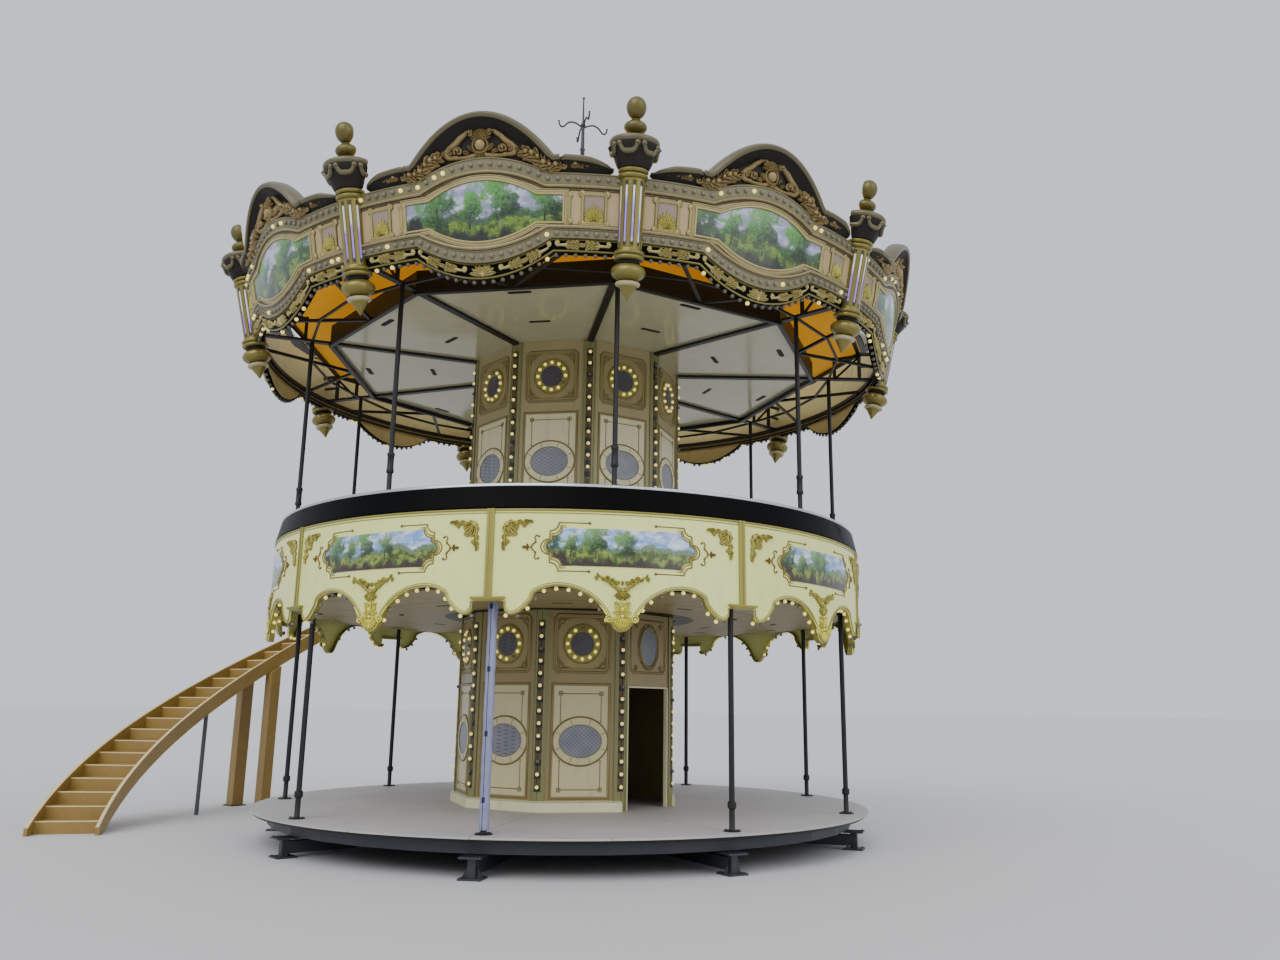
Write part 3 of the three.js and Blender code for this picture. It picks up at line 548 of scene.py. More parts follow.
FINISHES = {
    "cream_paint": lambda n: painted(n, colour("cream"), 0.34, coat=0.25, mottle=0.05, dirt=0.10),
    "core_paint": lambda n: painted(n, colour("core_cream"), 0.4, coat=0.1, mottle=0.07),
    # The core's cream made darker for the lower storey, as painted shade.
    "lower_core_paint": lambda n: painted(n, srgb(148, 133, 88), 0.4, coat=0.1, mottle=0.07),
    "core_ground": lambda n: painted(n, srgb(152, 140, 91), 0.45, mottle=0.16),
    "skirting_cream": lambda n: painted(n, srgb(226, 222, 180), 0.4, coat=0.1, mottle=0.06),
    # One panel paint in two tones: the upper storey's is paler, as painted light.
    "panel_lower": lambda n: painted(n, colour("panel_low"), 0.4, coat=0.1, mottle=0.07),
    "panel_upper": lambda n: painted(n, colour("panel_high"), 0.4, coat=0.1, mottle=0.07),
    "strip_paint": lambda n: painted(n, srgb(134, 133, 85), 0.4, metallic=0.1),
    "checked_slot": checked_slot,
    "dark_line": lambda n: painted(n, srgb(122, 100, 50), 0.4, metallic=0.25, mottle=0.2),
    # The carved finishes paint a highlight on ridges and shade in hollows.
    "bright_gold": lambda n: carved(n, srgb(216, 208, 92), 0.15, 0.16),
    "gold_paint": lambda n: painted(n, colour("gold"), 0.38, metallic=0.25, mottle=0.15),
    "line_paint": lambda n: painted(n, colour("line_gold"), 0.42, metallic=0.3, mottle=0.15),
    "post_paint": lambda n: painted(n, colour("post_gold"), 0.32, metallic=0.5, coat=0.1),
    "post_cream": lambda n: painted(n, srgb(176, 166, 126), 0.34, mottle=0.05),
    "beige_paint": lambda n: painted(n, colour("beige"), 0.42, metallic=0.05),
    "inside_paint": lambda n: painted(n, colour("inside"), 0.6, mottle=0.1, dirt=0.35),
    # The carved finishes below paint a highlight on ridges and shade in hollows.
    "carved_gold": lambda n: carved(n, srgb(162, 152, 74), 0.2, 0.14),
    "carved_cove": lambda n: carved(n, colour("cove"), 0.1, 0.20),
    "carved_bronze": lambda n: carved(n, colour("bronze"), 0.15, 0.14),
    "carved_frame": lambda n: carved(n, srgb(160, 148, 96), 0.15, 0.24),
    "finial_paint": lambda n: painted(n, shaded(colour("post_gold"), 0.60), 0.36, metallic=0.4),
    "carved_old_gold": lambda n: carved(n, colour("old_gold"), 0.15, 0.12),
    "carved_pale_gold": lambda n: carved(n, colour("pale_gold"), 0.1, 0.16),
    "carved_palm": lambda n: carved(n, colour("palm"), 0.1, 0.13),
    "rose_paint": lambda n: painted(n, colour("rose"), 0.4, mottle=0.10),
    "rim_paint": lambda n: painted(n, colour("rim_gold"), 0.34, metallic=0.2, mottle=0.14),
    "black_gloss": lambda n: glossy_black(n, colour("black")),
    "crest_gloss": lambda n: glossy_black(n, colour("crest"), 0.14),
    "light_strip": light_strip,
    "bulb_glass": bulb_glass,
    "bulb_cup": lambda n: bulb_glass(n, (0.20, 0.18, 0.135), 1.0, 0.5, 0.0),
    # The same bulb glass painted darker for the skirt's bulbs: painted shade under the crown.
    "skirt_glass": lambda n: bulb_glass(n, (0.115, 0.105, 0.085), 0.9),
    "black_steel": lambda n: steel_paint(n, colour("steel")),
    "frame_iron": lambda n: steel_paint(n, colour("iron")),
    "platform_sheet": platform_sheet,
    "ceiling_panel": lambda n: ceiling_panel(n, colour("ceiling")),
    "lower_ceiling": lambda n: ceiling_panel(n, srgb(150, 138, 98), 0.40, True),
    "stair_paint": lambda n: stair_paint(n, colour("stair"), colour("nosing")),
    "nosing_paint": lambda n: stair_paint(n, colour("nosing"), colour("stair")),
    # Near-black plates: painted shade in the ceilings' open slots.
    "dark_slot": lambda n: painted(n, (0.004, 0.004, 0.004), 0.7, mottle=0.0, dirt=0.0),
    "prop_steel": lambda n: steel_paint(n, srgb(96, 100, 104)),
    "silver_edge": lambda n: painted(n, srgb(190, 194, 198), 0.3, metallic=0.8),
    "roof_sheet": roof_sheet,
    "mirror_film": mirror_film,
    "round_mirror": lambda n: mirror_film(n, (0.060, 0.055, 0.070), (0.11, 0.10, 0.12), 0.0),
    "post_film": post_film,
    "led_strip": led_strip,
    "crown_picture": lambda n: landscape(
        n, ((0.26, 0.26, 0.42), (0.60, 0.60, 0.74)), ((0.006, 0.026, 0.012), (0.09, 0.17, 0.07)),
        ((0.02, 0.07, 0.006), (0.22, 0.36, 0.03)), ((0.001, 0.010, 0.002), (0.10, 0.36, 0.04)),
        ((0.001, 0.002, 0.001), (0.045, 0.050, 0.030))),
    "fascia_picture": lambda n: landscape(
        n, ((0.16, 0.32, 0.66), (0.70, 0.76, 0.86)), ((0.02, 0.06, 0.03), (0.22, 0.34, 0.18)),
        ((0.04, 0.12, 0.01), (0.34, 0.42, 0.06)), ((0.002, 0.014, 0.003), (0.16, 0.34, 0.06)),
        ((0.003, 0.005, 0.003), (0.12, 0.07, 0.04))),
}


def finish(name):
    return bpy.data.materials.get(name) or FINISHES[name](name)


# Forms


def on_bearing(bearing, radius, z):
    return Vector((radius * math.sin(bearing), -radius * math.cos(bearing), z))


def board_face(z):
    return CROWN_RADIUS + (z - CROWN_Z) * CROWN_LEAN


def on_crown(point):
    along, up, proud = point
    return on_bearing(along / CROWN_ARC, board_face(up) + proud, up)


def on_fascia(point):
    along, up, proud = point
    return on_bearing(along / FASCIA_RADIUS + LOWER_TURN, FASCIA_RADIUS - FASCIA_BOARD + proud, up)


def on_core(radius):
    face = radius * math.cos(BAY_ANGLE / 2)
    return lambda point: Vector((point[0], -face - point[2], point[1]))


def as_drawn(point):
    return Vector(point)


def on_post(point):
    """A crown post's own (x, y, z), flat at the back of its urn and finial, leaned outwards."""
    x, y, z = point
    if z > 0.95:
        y = min(y, POST_BACK)
    lean = Matrix.Rotation(math.atan(POST_LEAN), 4, "X")
    placed = lean @ Vector((x, y, z)) + Vector((0, -CROWN_RADIUS, CROWN_Z))
    if 6.985 < placed.z < 7.96:
        placed.y = min(placed.y, -(board_face(placed.z) - 0.095))
    return placed


class Form:
    """Points and faces of one piece, and each point's relief, before they are placed."""

    def __init__(self):
        self.points = []
        self.faces = []
        self.relief = []

    def add(self, other, change=tuple):
        first = len(self.points)
        self.points += [change(point) for point in other.points]
        self.faces += [tuple(first + i for i in face) for face in other.faces]
        self.relief += other.relief
        return self

    def add_both(self, other):
        """The other form and its mirror image, left and right of the bay's middle."""
        self.add(other)
        return self.add(other, lambda point: (-point[0], point[1], point[2]))

    def loft(self, sections, ring=False, relief=None):
        """Joins equal closed sections, and caps the two ends unless they meet in a ring."""
        first = len(self.points)
        size = len(sections[0])
        for section in sections:
            self.points += [tuple(point) for point in section]
            self.relief += relief or [0.5] * size
        spans = len(sections) if ring else len(sections) - 1
        for i in range(spans):
            here = first + i * size
            there = first + (i + 1) % len(sections) * size
            for j in range(size):
                k = (j + 1) % size
                self.faces.append((here + j, there + j, there + k, here + k))
        if not ring:
            last = first + (len(sections) - 1) * size
            self.faces.append(tuple(range(first, first + size)))
            self.faces.append(tuple(range(last, last + size)))
        return self

    def strip(self, runs, section_at, relief=None):
        """A long strip whose section, as (up, proud) corners, may change along the wall."""
        sections = [[(run, up, proud) for up, proud in section_at(run)] for run in runs]
        return self.loft(sections, relief=relief)

    def slab(self, outline, low, high):
        """A flat plate of an (along, up) outline."""
        return self.loft([[(x, z, level) for x, z in outline] for level in (low, high)])

    def plate(self, outline, low, high):
        """A level plate of an outline in plan."""
        return self.loft([[(x, y, z) for x, y in outline] for z in (low, high)])

    def bead(self, path, width, height, closed=False, low=0.0, taper=None, sides=4):
        """A half-round ridge along a path of (along, up) points."""
        path = [Vector(point) for point in path]
        count = len(path)
        shape = [math.pi * i / sides for i in range(sides + 1)]
        relief = [math.sin(angle) for angle in shape] + [0.0, 0.0]
        sections = []
        for i, point in enumerate(path):
            before = path[i - 1] if i or closed else None
            after = path[(i + 1) % count] if i + 1 < count or closed else None
            inward = (point - before).normalized() if before else None
            onward = (after - point).normalized() if after else None
            inward = inward or onward
            onward = onward or inward
            across = Vector((-inward.y - onward.y, inward.x + onward.x)).normalized()
            mitre = 1 / max(0.5, across.dot(Vector((-inward.y, inward.x))))
            scale = taper(i / (count - 1)) if taper else 1.0
            section = []
            for angle in shape:
                side = point + across * (width * scale * mitre * math.cos(angle))
                section.append((side.x, side.y, low + height * scale * math.sin(angle)))
            for end in (-1, 1):
                side = point + across * (width * scale * mitre * end)
                section.append((side.x, side.y, low - 0.004))
            sections.append(section)
        return self.loft(sections, ring=closed, relief=relief)

    def petal(self, x, z, angle, length, width, height, bend=0.0, low=0.0):
        """A pointed leaf with a creased middle, from its foot towards an angle."""
        sections = []
        place = Vector((x, z))
        steps = ((0.0, 0.35, 0.6), (0.28, 0.85, 0.9), (0.34, 1.0, 1.0), (0.24, 0.62, 0.85),
                 (0.14, 0.08, 0.35))
        for step, wide, high in steps:
            angle += bend * step
            place = place + Vector((math.cos(angle), math.sin(angle))) * length * step
            across = Vector((-math.sin(angle), math.cos(angle))) * width * wide
            sections.append([
                (place.x + across.x * side, place.y + across.y * side, low + height * high * up)
                for side, up in ((1, -0.2), (0.55, 1.0), (0, 0.55), (-0.55, 1.0), (-1, -0.2))])
        return self.loft(sections, relief=[0.0, 1.0, 0.25, 1.0, 0.0])

    def dome(self, x, z, radius, height, low=0.0, sides=10):
        """A round boss."""
        steps = ((1.0, -0.1), (1.0, 0.3), (0.78, 0.75), (0.42, 0.96), (0.08, 1.0))
        rings = []
        for wide, up in steps:
            rings.append([
                (x + radius * wide * math.cos(i * math.tau / sides),
                 z + radius * wide * math.sin(i * math.tau / sides), low + height * up)
                for i in range(sides)])
        first = len(self.points)
        self.loft(rings)
        for i, (_, up) in enumerate(steps):
            for j in range(sides):
                self.relief[first + i * sides + j] = max(0.0, up)
        return self

    def scroll(self, x, z, radius, width, height, turns=1.25, start=0.0, spin=1):
        """A spiral volute that winds in to its eye."""
        steps = int(11 * turns) + 3
        path = []
        for i in range(steps + 1):
            t = i / steps
            reach = radius * (1 - 0.82 * t)
            angle = start + spin * t * turns * math.tau
            path.append((x + reach * math.cos(angle), z + reach * math.sin(angle)))
        self.bead(path, width, height, taper=lambda t: 1.0 - 0.45 * t)
        return self.dome(path[-1][0], path[-1][1], width * 1.1, height * 1.1, sides=8)

    def leaf_run(self, path, size, height, spread=0.9, grow=None):
        """Leaves in pairs along a path, on a fine stem, with one leaf at the tip."""
        self.bead(path, size * 0.12, height * 0.6)
        count = len(path)
        for i in range(count - 1):
            x, z = path[i]
            dx, dz = path[i + 1][0] - x, path[i + 1][1] - z
            heading = math.atan2(dz, dx)
            scale = grow(i / (count - 1)) if grow else 1.0
            for side in (-1, 1):
                self.petal(x, z, heading + side * spread, size * scale, size * 0.3 * scale,
                           height, bend=-side * 0.7)
        x, z = path[-1]
        scale = grow(1.0) if grow else 1.0
        return self.petal(x, z, heading, size * scale, size * 0.3 * scale, height)

    def turned(self, outline, sides=48, centre=(0.0, 0.0)):
        """A round body about the vertical, from (radius, z) points."""
        rings = []
        for radius, z in outline:
            rings.append([
                (centre[0] + max(radius, 0.0005) * math.sin(i * math.tau / sides),
                 centre[1] - max(radius, 0.0005) * math.cos(i * math.tau / sides), z)
                for i in range(sides)])
        return self.loft(rings)

    def bolts(self, spots, low, radius, height, peak):
        """Six-sided bolt heads on a level face, each with a low peak."""
        outline = [(0.0, low), (radius, low), (radius, low + height), (0.0, low + peak)]
        for spot in spots:
            self.turned(outline, 6, centre=spot)
        return self

    def hoop(self, corners, sides=SMOOTH_RING):
        """A ring about the carousel's axis, of a section of (radius, z) corners."""
        sections = [
            [tuple(on_bearing(i * math.tau / sides, radius, z)) for radius, z in corners]
            for i in range(sides)]
        return self.loft(sections, ring=True)

    def band(self, inner, outer, low, high, sides, lip=0.0):
        """A flat ring with small chamfers of a lip's size."""
        return self.hoop([(inner, low), (outer - lip, low), (outer, low + lip),
                          (outer, high - lip), (outer - lip, high), (inner, high)], sides)

    def bar(self, start, end, width, height, chamfer=0.006):
        """A straight square-edged bar with small chamfers."""
        start, end = Vector(start), Vector(end)
        along = (end - start).normalized()
        side = along.cross(Vector((0, 0, 1)))
        side = side.normalized() if side.length > 0.01 else Vector((1, 0, 0))
        up = side.cross(along)
        a, b, c = width / 2, height / 2, chamfer
        corners = ((a - c, -b), (a, c - b), (a, b - c), (a - c, b),
                   (c - a, b), (-a, b - c), (-a, c - b), (c - a, -b))
        return self.loft([
            [tuple(place + side * x + up * z) for x, z in corners] for place in (start, end)])

    def tube(self, path, radius, sides=10, taper=None):
        """A round rod along a path of points in space."""
        path = [Vector(point) for point in path]
        sections = []
        side = None
        for i, point in enumerate(path):
            after = path[min(i + 1, len(path) - 1)]
            before = path[max(i - 1, 0)]
            along = (after - before).normalized()
            if side is None:
                side = along.orthogonal().normalized()
            side = (side - along * side.dot(along)).normalized()
            up = along.cross(side)
            size = radius * (taper(i / (len(path) - 1)) if taper else 1.0)
            sections.append([
                tuple(point + side * size * math.cos(j * math.tau / sides)
                      + up * size * math.sin(j * math.tau / sides)) for j in range(sides)])
        return self.loft(sections)


def mesh_of(form, name, where=as_drawn, sharp=35, panel=None, extras=None):
    """A mesh object of a form, laid on its surface, with normals facing outwards."""
    mesh = bpy.data.meshes.new(name)
    mesh.from_pydata([where(point) for point in form.points], [], form.faces)
    # The relief attribute is what the carved finishes paint their highlights and shade by.
    relief = mesh.attributes.new("relief", "FLOAT", "POINT")
    relief.data.foreach_set("value", form.relief)
    for key, value_at in (extras or {}).items():
        layer = mesh.attributes.new(key, "FLOAT", "POINT")
        layer.data.foreach_set("value", [value_at(point) for point in form.points])
    if panel:
        left, low, height = panel
        layer = mesh.uv_layers.new(name="panel")
        for loop in mesh.loops:
            x, z, _ = form.points[loop.vertex_index]
            layer.data[loop.index].uv = ((x - left) / height, (z - low) / height)
    shape = bmesh.new()
    shape.from_mesh(mesh)
    bmesh.ops.recalc_face_normals(shape, faces=shape.faces)
    shape.to_mesh(mesh)
    shape.free()
    mesh.shade_smooth()
    mesh.set_sharp_from_angle(angle=math.radians(sharp))
    made = bpy.data.objects.new(name, mesh)
    bpy.context.scene.collection.objects.link(made)
    return made


# Geometry Nodes


class NodeTree:
    """A geometry tree with named inputs, and the one method that adds nodes to it."""

    def __init__(self, name, inputs):
        self.tree = bpy.data.node_groups.new(name, "GeometryNodeTree")
        self.tree.interface.new_socket(
            name="Geometry", in_out="INPUT", socket_type="NodeSocketGeometry")
        for label, kind in inputs.items():
            self.tree.interface.new_socket(
                name=label, in_out="INPUT", socket_type="NodeSocket" + kind)
        self.tree.interface.new_socket(
            name="Geometry", in_out="OUTPUT", socket_type="NodeSocketGeometry")
        self.start = self.tree.nodes.new("NodeGroupInput")

    def given(self, label):
        return self.start.outputs[label]

    def node(self, kind, settings=None, inputs=None, output=0):
        made = self.tree.nodes.new(kind)
        for key, value in (settings or {}).items():
            setattr(made, key, value)
        for key, value in (inputs or {}).items():
            if isinstance(value, bpy.types.NodeSocket):
                self.tree.links.new(value, made.inputs[key])
            else:
                made.inputs[key].default_value = value
        return made.outputs[output]

    def ring(self, geometry):
        """Copies of some geometry about the vertical axis, from First in equal Steps."""
        points = self.node("GeometryNodeMeshLine", {}, {
            "Count": self.given("Count"), "Offset": (0.0, 0.0, 0.0)})
        index = self.node("GeometryNodeInputIndex")
        turn = self.node("ShaderNodeMath", {"operation": "MULTIPLY_ADD"}, {
            0: index, 1: self.given("Step"), 2: self.given("First")})
        turned = self.node("ShaderNodeCombineXYZ", {}, {2: turn})
        copies = self.node("GeometryNodeInstanceOnPoints", {}, {
            "Points": points, "Instance": geometry, "Rotation": turned})
        numbered = self.node(
            "GeometryNodeStoreNamedAttribute", {"data_type": "FLOAT", "domain": "INSTANCE"},
            {"Geometry": copies, "Name": "bay", "Value": self.node("GeometryNodeInputIndex")})
        return self.node("GeometryNodeRealizeInstances", {}, {0: numbered})

    def end(self, geometry):
        geometry = self.node("GeometryNodeRealizeInstances", {}, {0: geometry})
        geometry = self.node("GeometryNodeSetMaterial", {}, {
            "Geometry": geometry, "Material": self.given("Material")})
        last = self.tree.nodes.new("NodeGroupOutput")
        self.tree.links.new(geometry, last.inputs[0])
        return self.tree


RING_INPUTS = {"Count": "Int", "First": "Float", "Step": "Float", "Material": "Material"}


def ring_tree():
    """Copies of a bay's piece round the carousel."""
    made = NodeTree("bay_ring", RING_INPUTS)
    return made.end(made.ring(made.given("Geometry")))


def bulb_tree():
    """Bulbs at even spacing on the lines of a bay, which are first copied round the carousel."""
    made = NodeTree("bulb_string", {
        **RING_INPUTS, "Spacing": "Float", "Radius": "Float", "Lit Share": "Float", "Seed": "Int"})
    lines = made.node("GeometryNodeMeshToCurve", {}, {"Mesh": made.ring(made.given("Geometry"))})
    spaced = made.node("GeometryNodeResampleCurve", {"mode": "LENGTH"}, {
        "Curve": lines, "Length": made.given("Spacing")})
    globe = made.node("GeometryNodeMeshIcoSphere", {}, {
        "Radius": made.given("Radius"), "Subdivisions": 2})
    bulbs = made.node("GeometryNodeInstanceOnPoints", {}, {"Points": spaced, "Instance": globe})
    chance = made.node("FunctionNodeRandomValue", {"data_type": "BOOLEAN"}, {
        "Probability": made.given("Lit Share"), "Seed": made.given("Seed")}, output=3)
    marked = made.node(
        "GeometryNodeStoreNamedAttribute", {"data_type": "FLOAT", "domain": "INSTANCE"},
        {"Geometry": bulbs, "Name": "lit", "Value": chance})
    smooth = made.node("GeometryNodeSetShadeSmooth", {}, {
        0: made.node("GeometryNodeRealizeInstances", {}, {0: marked})})
    return made.end(smooth)


def run_tree(source, builder, values):
    """Gives a source object the result of a geometry tree as its plain mesh."""
    tree = bpy.data.node_groups.get(builder.__name__) or builder()
    tree.name = builder.__name__
    modifier = source.modifiers.new("tree", "NODES")
    modifier.node_group = tree
    for item in tree.interface.items_tree:
        if item.item_type == "SOCKET" and item.in_out == "INPUT" and item.name in values:
            modifier[item.identifier] = values[item.name]
    bpy.context.view_layer.update()
    graph = bpy.context.evaluated_depsgraph_get()
    made = bpy.data.meshes.new_from_object(source.evaluated_get(graph), depsgraph=graph)
    source.modifiers.remove(modifier)
    old = source.data
    source.data = made
    bpy.data.meshes.remove(old)
    made.name = source.name
    return source


def fitted(piece, body, replaces=()):
    """Parents a finished piece to its body's empty, and hides the CAD nodes that it stands for."""
    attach(piece, body)
    if replaces:
        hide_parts(*replaces)
    return piece


def build(form, name, material, slot, where=as_drawn, body=TURNING, replaces=(), **more):
    """One piece from a form."""
    piece = mesh_of(form, name, where, **more)
    piece.data.materials.append(finish(material))
    return fitted(piece, body, replaces)


def build_ring(form, name, material, slot, where=as_drawn, first=0.0, count=BAYS,
               body=TURNING, replaces=(), **more):
    """A bay's form repeated round the carousel as one piece."""
    piece = mesh_of(form, name, where, **more)
    run_tree(piece, ring_tree, {
        "Count": count, "First": first, "Step": BAY_ANGLE, "Material": finish(material)})
    return fitted(piece, body, replaces)


def crown_ring(form, name, material, slot="gold_trim", **more):
    """A piece of each crown board."""
    return build_ring(form, name, material, slot, on_crown, first=LOWER_START, **more)


def fascia_ring(form, name, material, slot="gold_trim", **more):
    """A piece of each fascia bay."""
    return build_ring(form, name, material, slot, on_fascia, **more)


def build_bulbs(lines, name, spacing, radius, lit, seed, first=0.0, count=BAYS,
                glass="bulb_glass"):
    """Bulbs along lines of points in space, each given as (points, closed)."""
    points, edges = [], []
    for line, closed in lines:
        start = len(points)
        points += [tuple(point) for point in line]
        edges += [(start + i, start + i + 1) for i in range(len(line) - 1)]
        if closed:
            edges.append((start + len(line) - 1, start))
    mesh = bpy.data.meshes.new(name)
    mesh.from_pydata(points, edges, [])
    piece = bpy.data.objects.new(name, mesh)
    bpy.context.scene.collection.objects.link(piece)
    run_tree(piece, bulb_tree, {
        "Count": count, "First": first, "Step": BAY_ANGLE, "Material": finish(glass),
        "Spacing": spacing, "Radius": radius, "Lit Share": lit, "Seed": seed})
    return fitted(piece, TURNING)


def repaint(finish_name, *nodes):
    """Gives CAD nodes that stay in sight their finish."""
    for node in nodes:
        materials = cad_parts[node].data.materials
        materials.clear()
        materials.append(finish(finish_name))


def all_bays(stem):
    return [f"{stem}_{i + 1}" for i in range(BAYS)]


def ellipse(x, z, wide, high, count=48):
    return [(x + wide * math.cos(i * math.tau / count), z + high * math.sin(i * math.tau / count))
            for i in range(count)]


def box_outline(x, z, wide, high):
    return [(x - wide, z - high), (x + wide, z - high), (x + wide, z + high), (x - wide, z + high)]


def cut_outline(wide, low, high, cut):
    """An upright oblong with its corners cut off."""
    return [(-wide + cut, low), (wide - cut, low), (wide, low + cut), (wide, high - cut),
            (wide - cut, high), (-wide + cut, high), (-wide, high - cut), (-wide, low + cut)]


def upright(foot, head, back, front):
    """A section of (up, proud) corners from a foot to a head, between two depths."""
    return [(foot, back), (foot, front), (head, front), (head, back)]


def four_spots(spread, ring):
    """Plan places of four bolts round a foot that stands on a ring at the front."""
    angles = [math.pi / 4 + i * math.pi / 2 for i in range(4)]
    return [(spread * math.cos(angle), spread * math.sin(angle) - ring) for angle in angles]


# The crown's lines, by the distance from the bay's middle


def bulge(run, half, rise):
    return rise * (1 - (run / half) ** 2) if abs(run) < half else 0.0


def crown_line(level, half, rise):
    """A line along a crown board, which bulges up or down over the bay's middle."""
    return lambda run: level + bulge(run, half, rise)


skirt_foot = crown_line(6.98, 0.85, -0.30)
low_band_foot = crown_line(7.13, 0.83, -0.27)
low_band_head = crown_line(7.235, 0.78, -0.235)
picture_foot = crown_line(7.315, 0.65, -0.205)
picture_head = crown_line(7.62, 0.65, 0.185)
high_band_foot = crown_line(7.74, 0.75, 0.185)
high_band_head = crown_line(7.875, 0.78, 0.195)
PICTURE_HALF = 0.95
PANEL_PLACE = (1.315, 7.475)
LOBE_START = 0.9
LOBE_TIP = 1.53


def crest_head(run):
    """The crests' upper line: a high arch, and a low lobe on each side of it."""
    if abs(run) < LOBE_START:
        return 8.0 + bulge(run, LOBE_START, 0.59)
    return 8.075 - 0.07 * ((abs(run) - LOBE_START) / 0.63) ** 2


def lobe_lift(run):
    """How far a side lobe's foot rises towards its tip."""
    return max(0.0, (abs(run) - 1.33) / 0.20) ** 1.3 * 0.09


def crown_runs(half=CROWN_HALF_BAY, step=0.05):
    """Distances from the bay's middle at even steps, and at each knee of the lines."""
    knees = (0.65, 0.75, 0.78, 0.83, 0.85, 0.9)
    runs = set(np.round(np.linspace(-half, half, int(2 * half / step) + 1), 4))
    runs |= {side * knee for knee in knees for side in (-1, 1) if knee < half}
    return sorted(float(run) for run in runs)


def picture_outline(grow=0.0):
    """The crown picture's outline, made larger by a margin."""
    half = PICTURE_HALF + grow
    runs = [run for run in crown_runs(half) if abs(run) <= half]
    foot = [(run, picture_foot(run) - grow) for run in runs]
    head = [(run, picture_head(run) + grow) for run in reversed(runs)]
    return foot + head


# Operators


class CarouselStep:
    """What the operators have in common."""

    bl_options = {"REGISTER"}

    def execute(self, context):
        self.make()
        return {"FINISHED"}


class CAROUSEL_OT_stage(CarouselStep, bpy.types.Operator):
    """Adds the pale floor, the soft light and the camera"""

    bl_idname = "carousel.stage"
    bl_label = "Stage"

    def make(self):
        scene = bpy.context.scene
        floor = bpy.data.meshes.new("floor")
        reach = 400.0
        floor.from_pydata(
            [(-reach, -reach, 0), (reach, -reach, 0), (reach, reach, 0), (-reach, reach, 0)],
            [], [(0, 1, 2, 3)])
        ground = bpy.data.objects.new("floor", floor)
        scene.collection.objects.link(ground)
        recipe = Recipe("floor_grey")
        floor.materials.append(recipe.surface((0.62, 0.61, 0.60), 0.75))

        world = bpy.data.worlds.new("studio")
        world.use_nodes = True
        background = world.node_tree.nodes["Background"]
        background.inputs["Color"].default_value = (0.86, 0.90, 1.0, 1.0)
        background.inputs["Strength"].default_value = 0.95
        scene.world = world

        for name, energy, tilt, turn in (("key", 1.5, 48, -38), ("fill", 0.7, 65, 40)):
            light = bpy.data.lights.new(name, "SUN")
            light.energy = energy
            light.angle = math.radians(50)
            lamp = bpy.data.objects.new(name, light)
            lamp.rotation_euler = (math.radians(tilt), 0, math.radians(turn))
            scene.collection.objects.link(lamp)

        camera = bpy.data.cameras.new("camera")
        camera.lens = CAMERA_LENS
        camera.sensor_width = 36.0
        camera.clip_end = 1000.0
        ahead = Vector((
            math.cos(CAMERA_HEADING) * math.cos(CAMERA_PITCH),
            math.sin(CAMERA_HEADING) * math.cos(CAMERA_PITCH), math.sin(CAMERA_PITCH)))
        right = ahead.cross(Vector((0, 0, 1))).normalized()
        up = right.cross(ahead)
        level, rise = math.cos(CAMERA_ROLL), math.sin(CAMERA_ROLL)
        right, up = right * level + up * rise, up * level - right * rise
        viewer = bpy.data.objects.new("camera", camera)
        viewer.matrix_world = Matrix.Translation(CAMERA_PLACE) @ Matrix(
            (right, up, -ahead)).transposed().to_4x4()
        scene.collection.objects.link(viewer)
        scene.camera = viewer


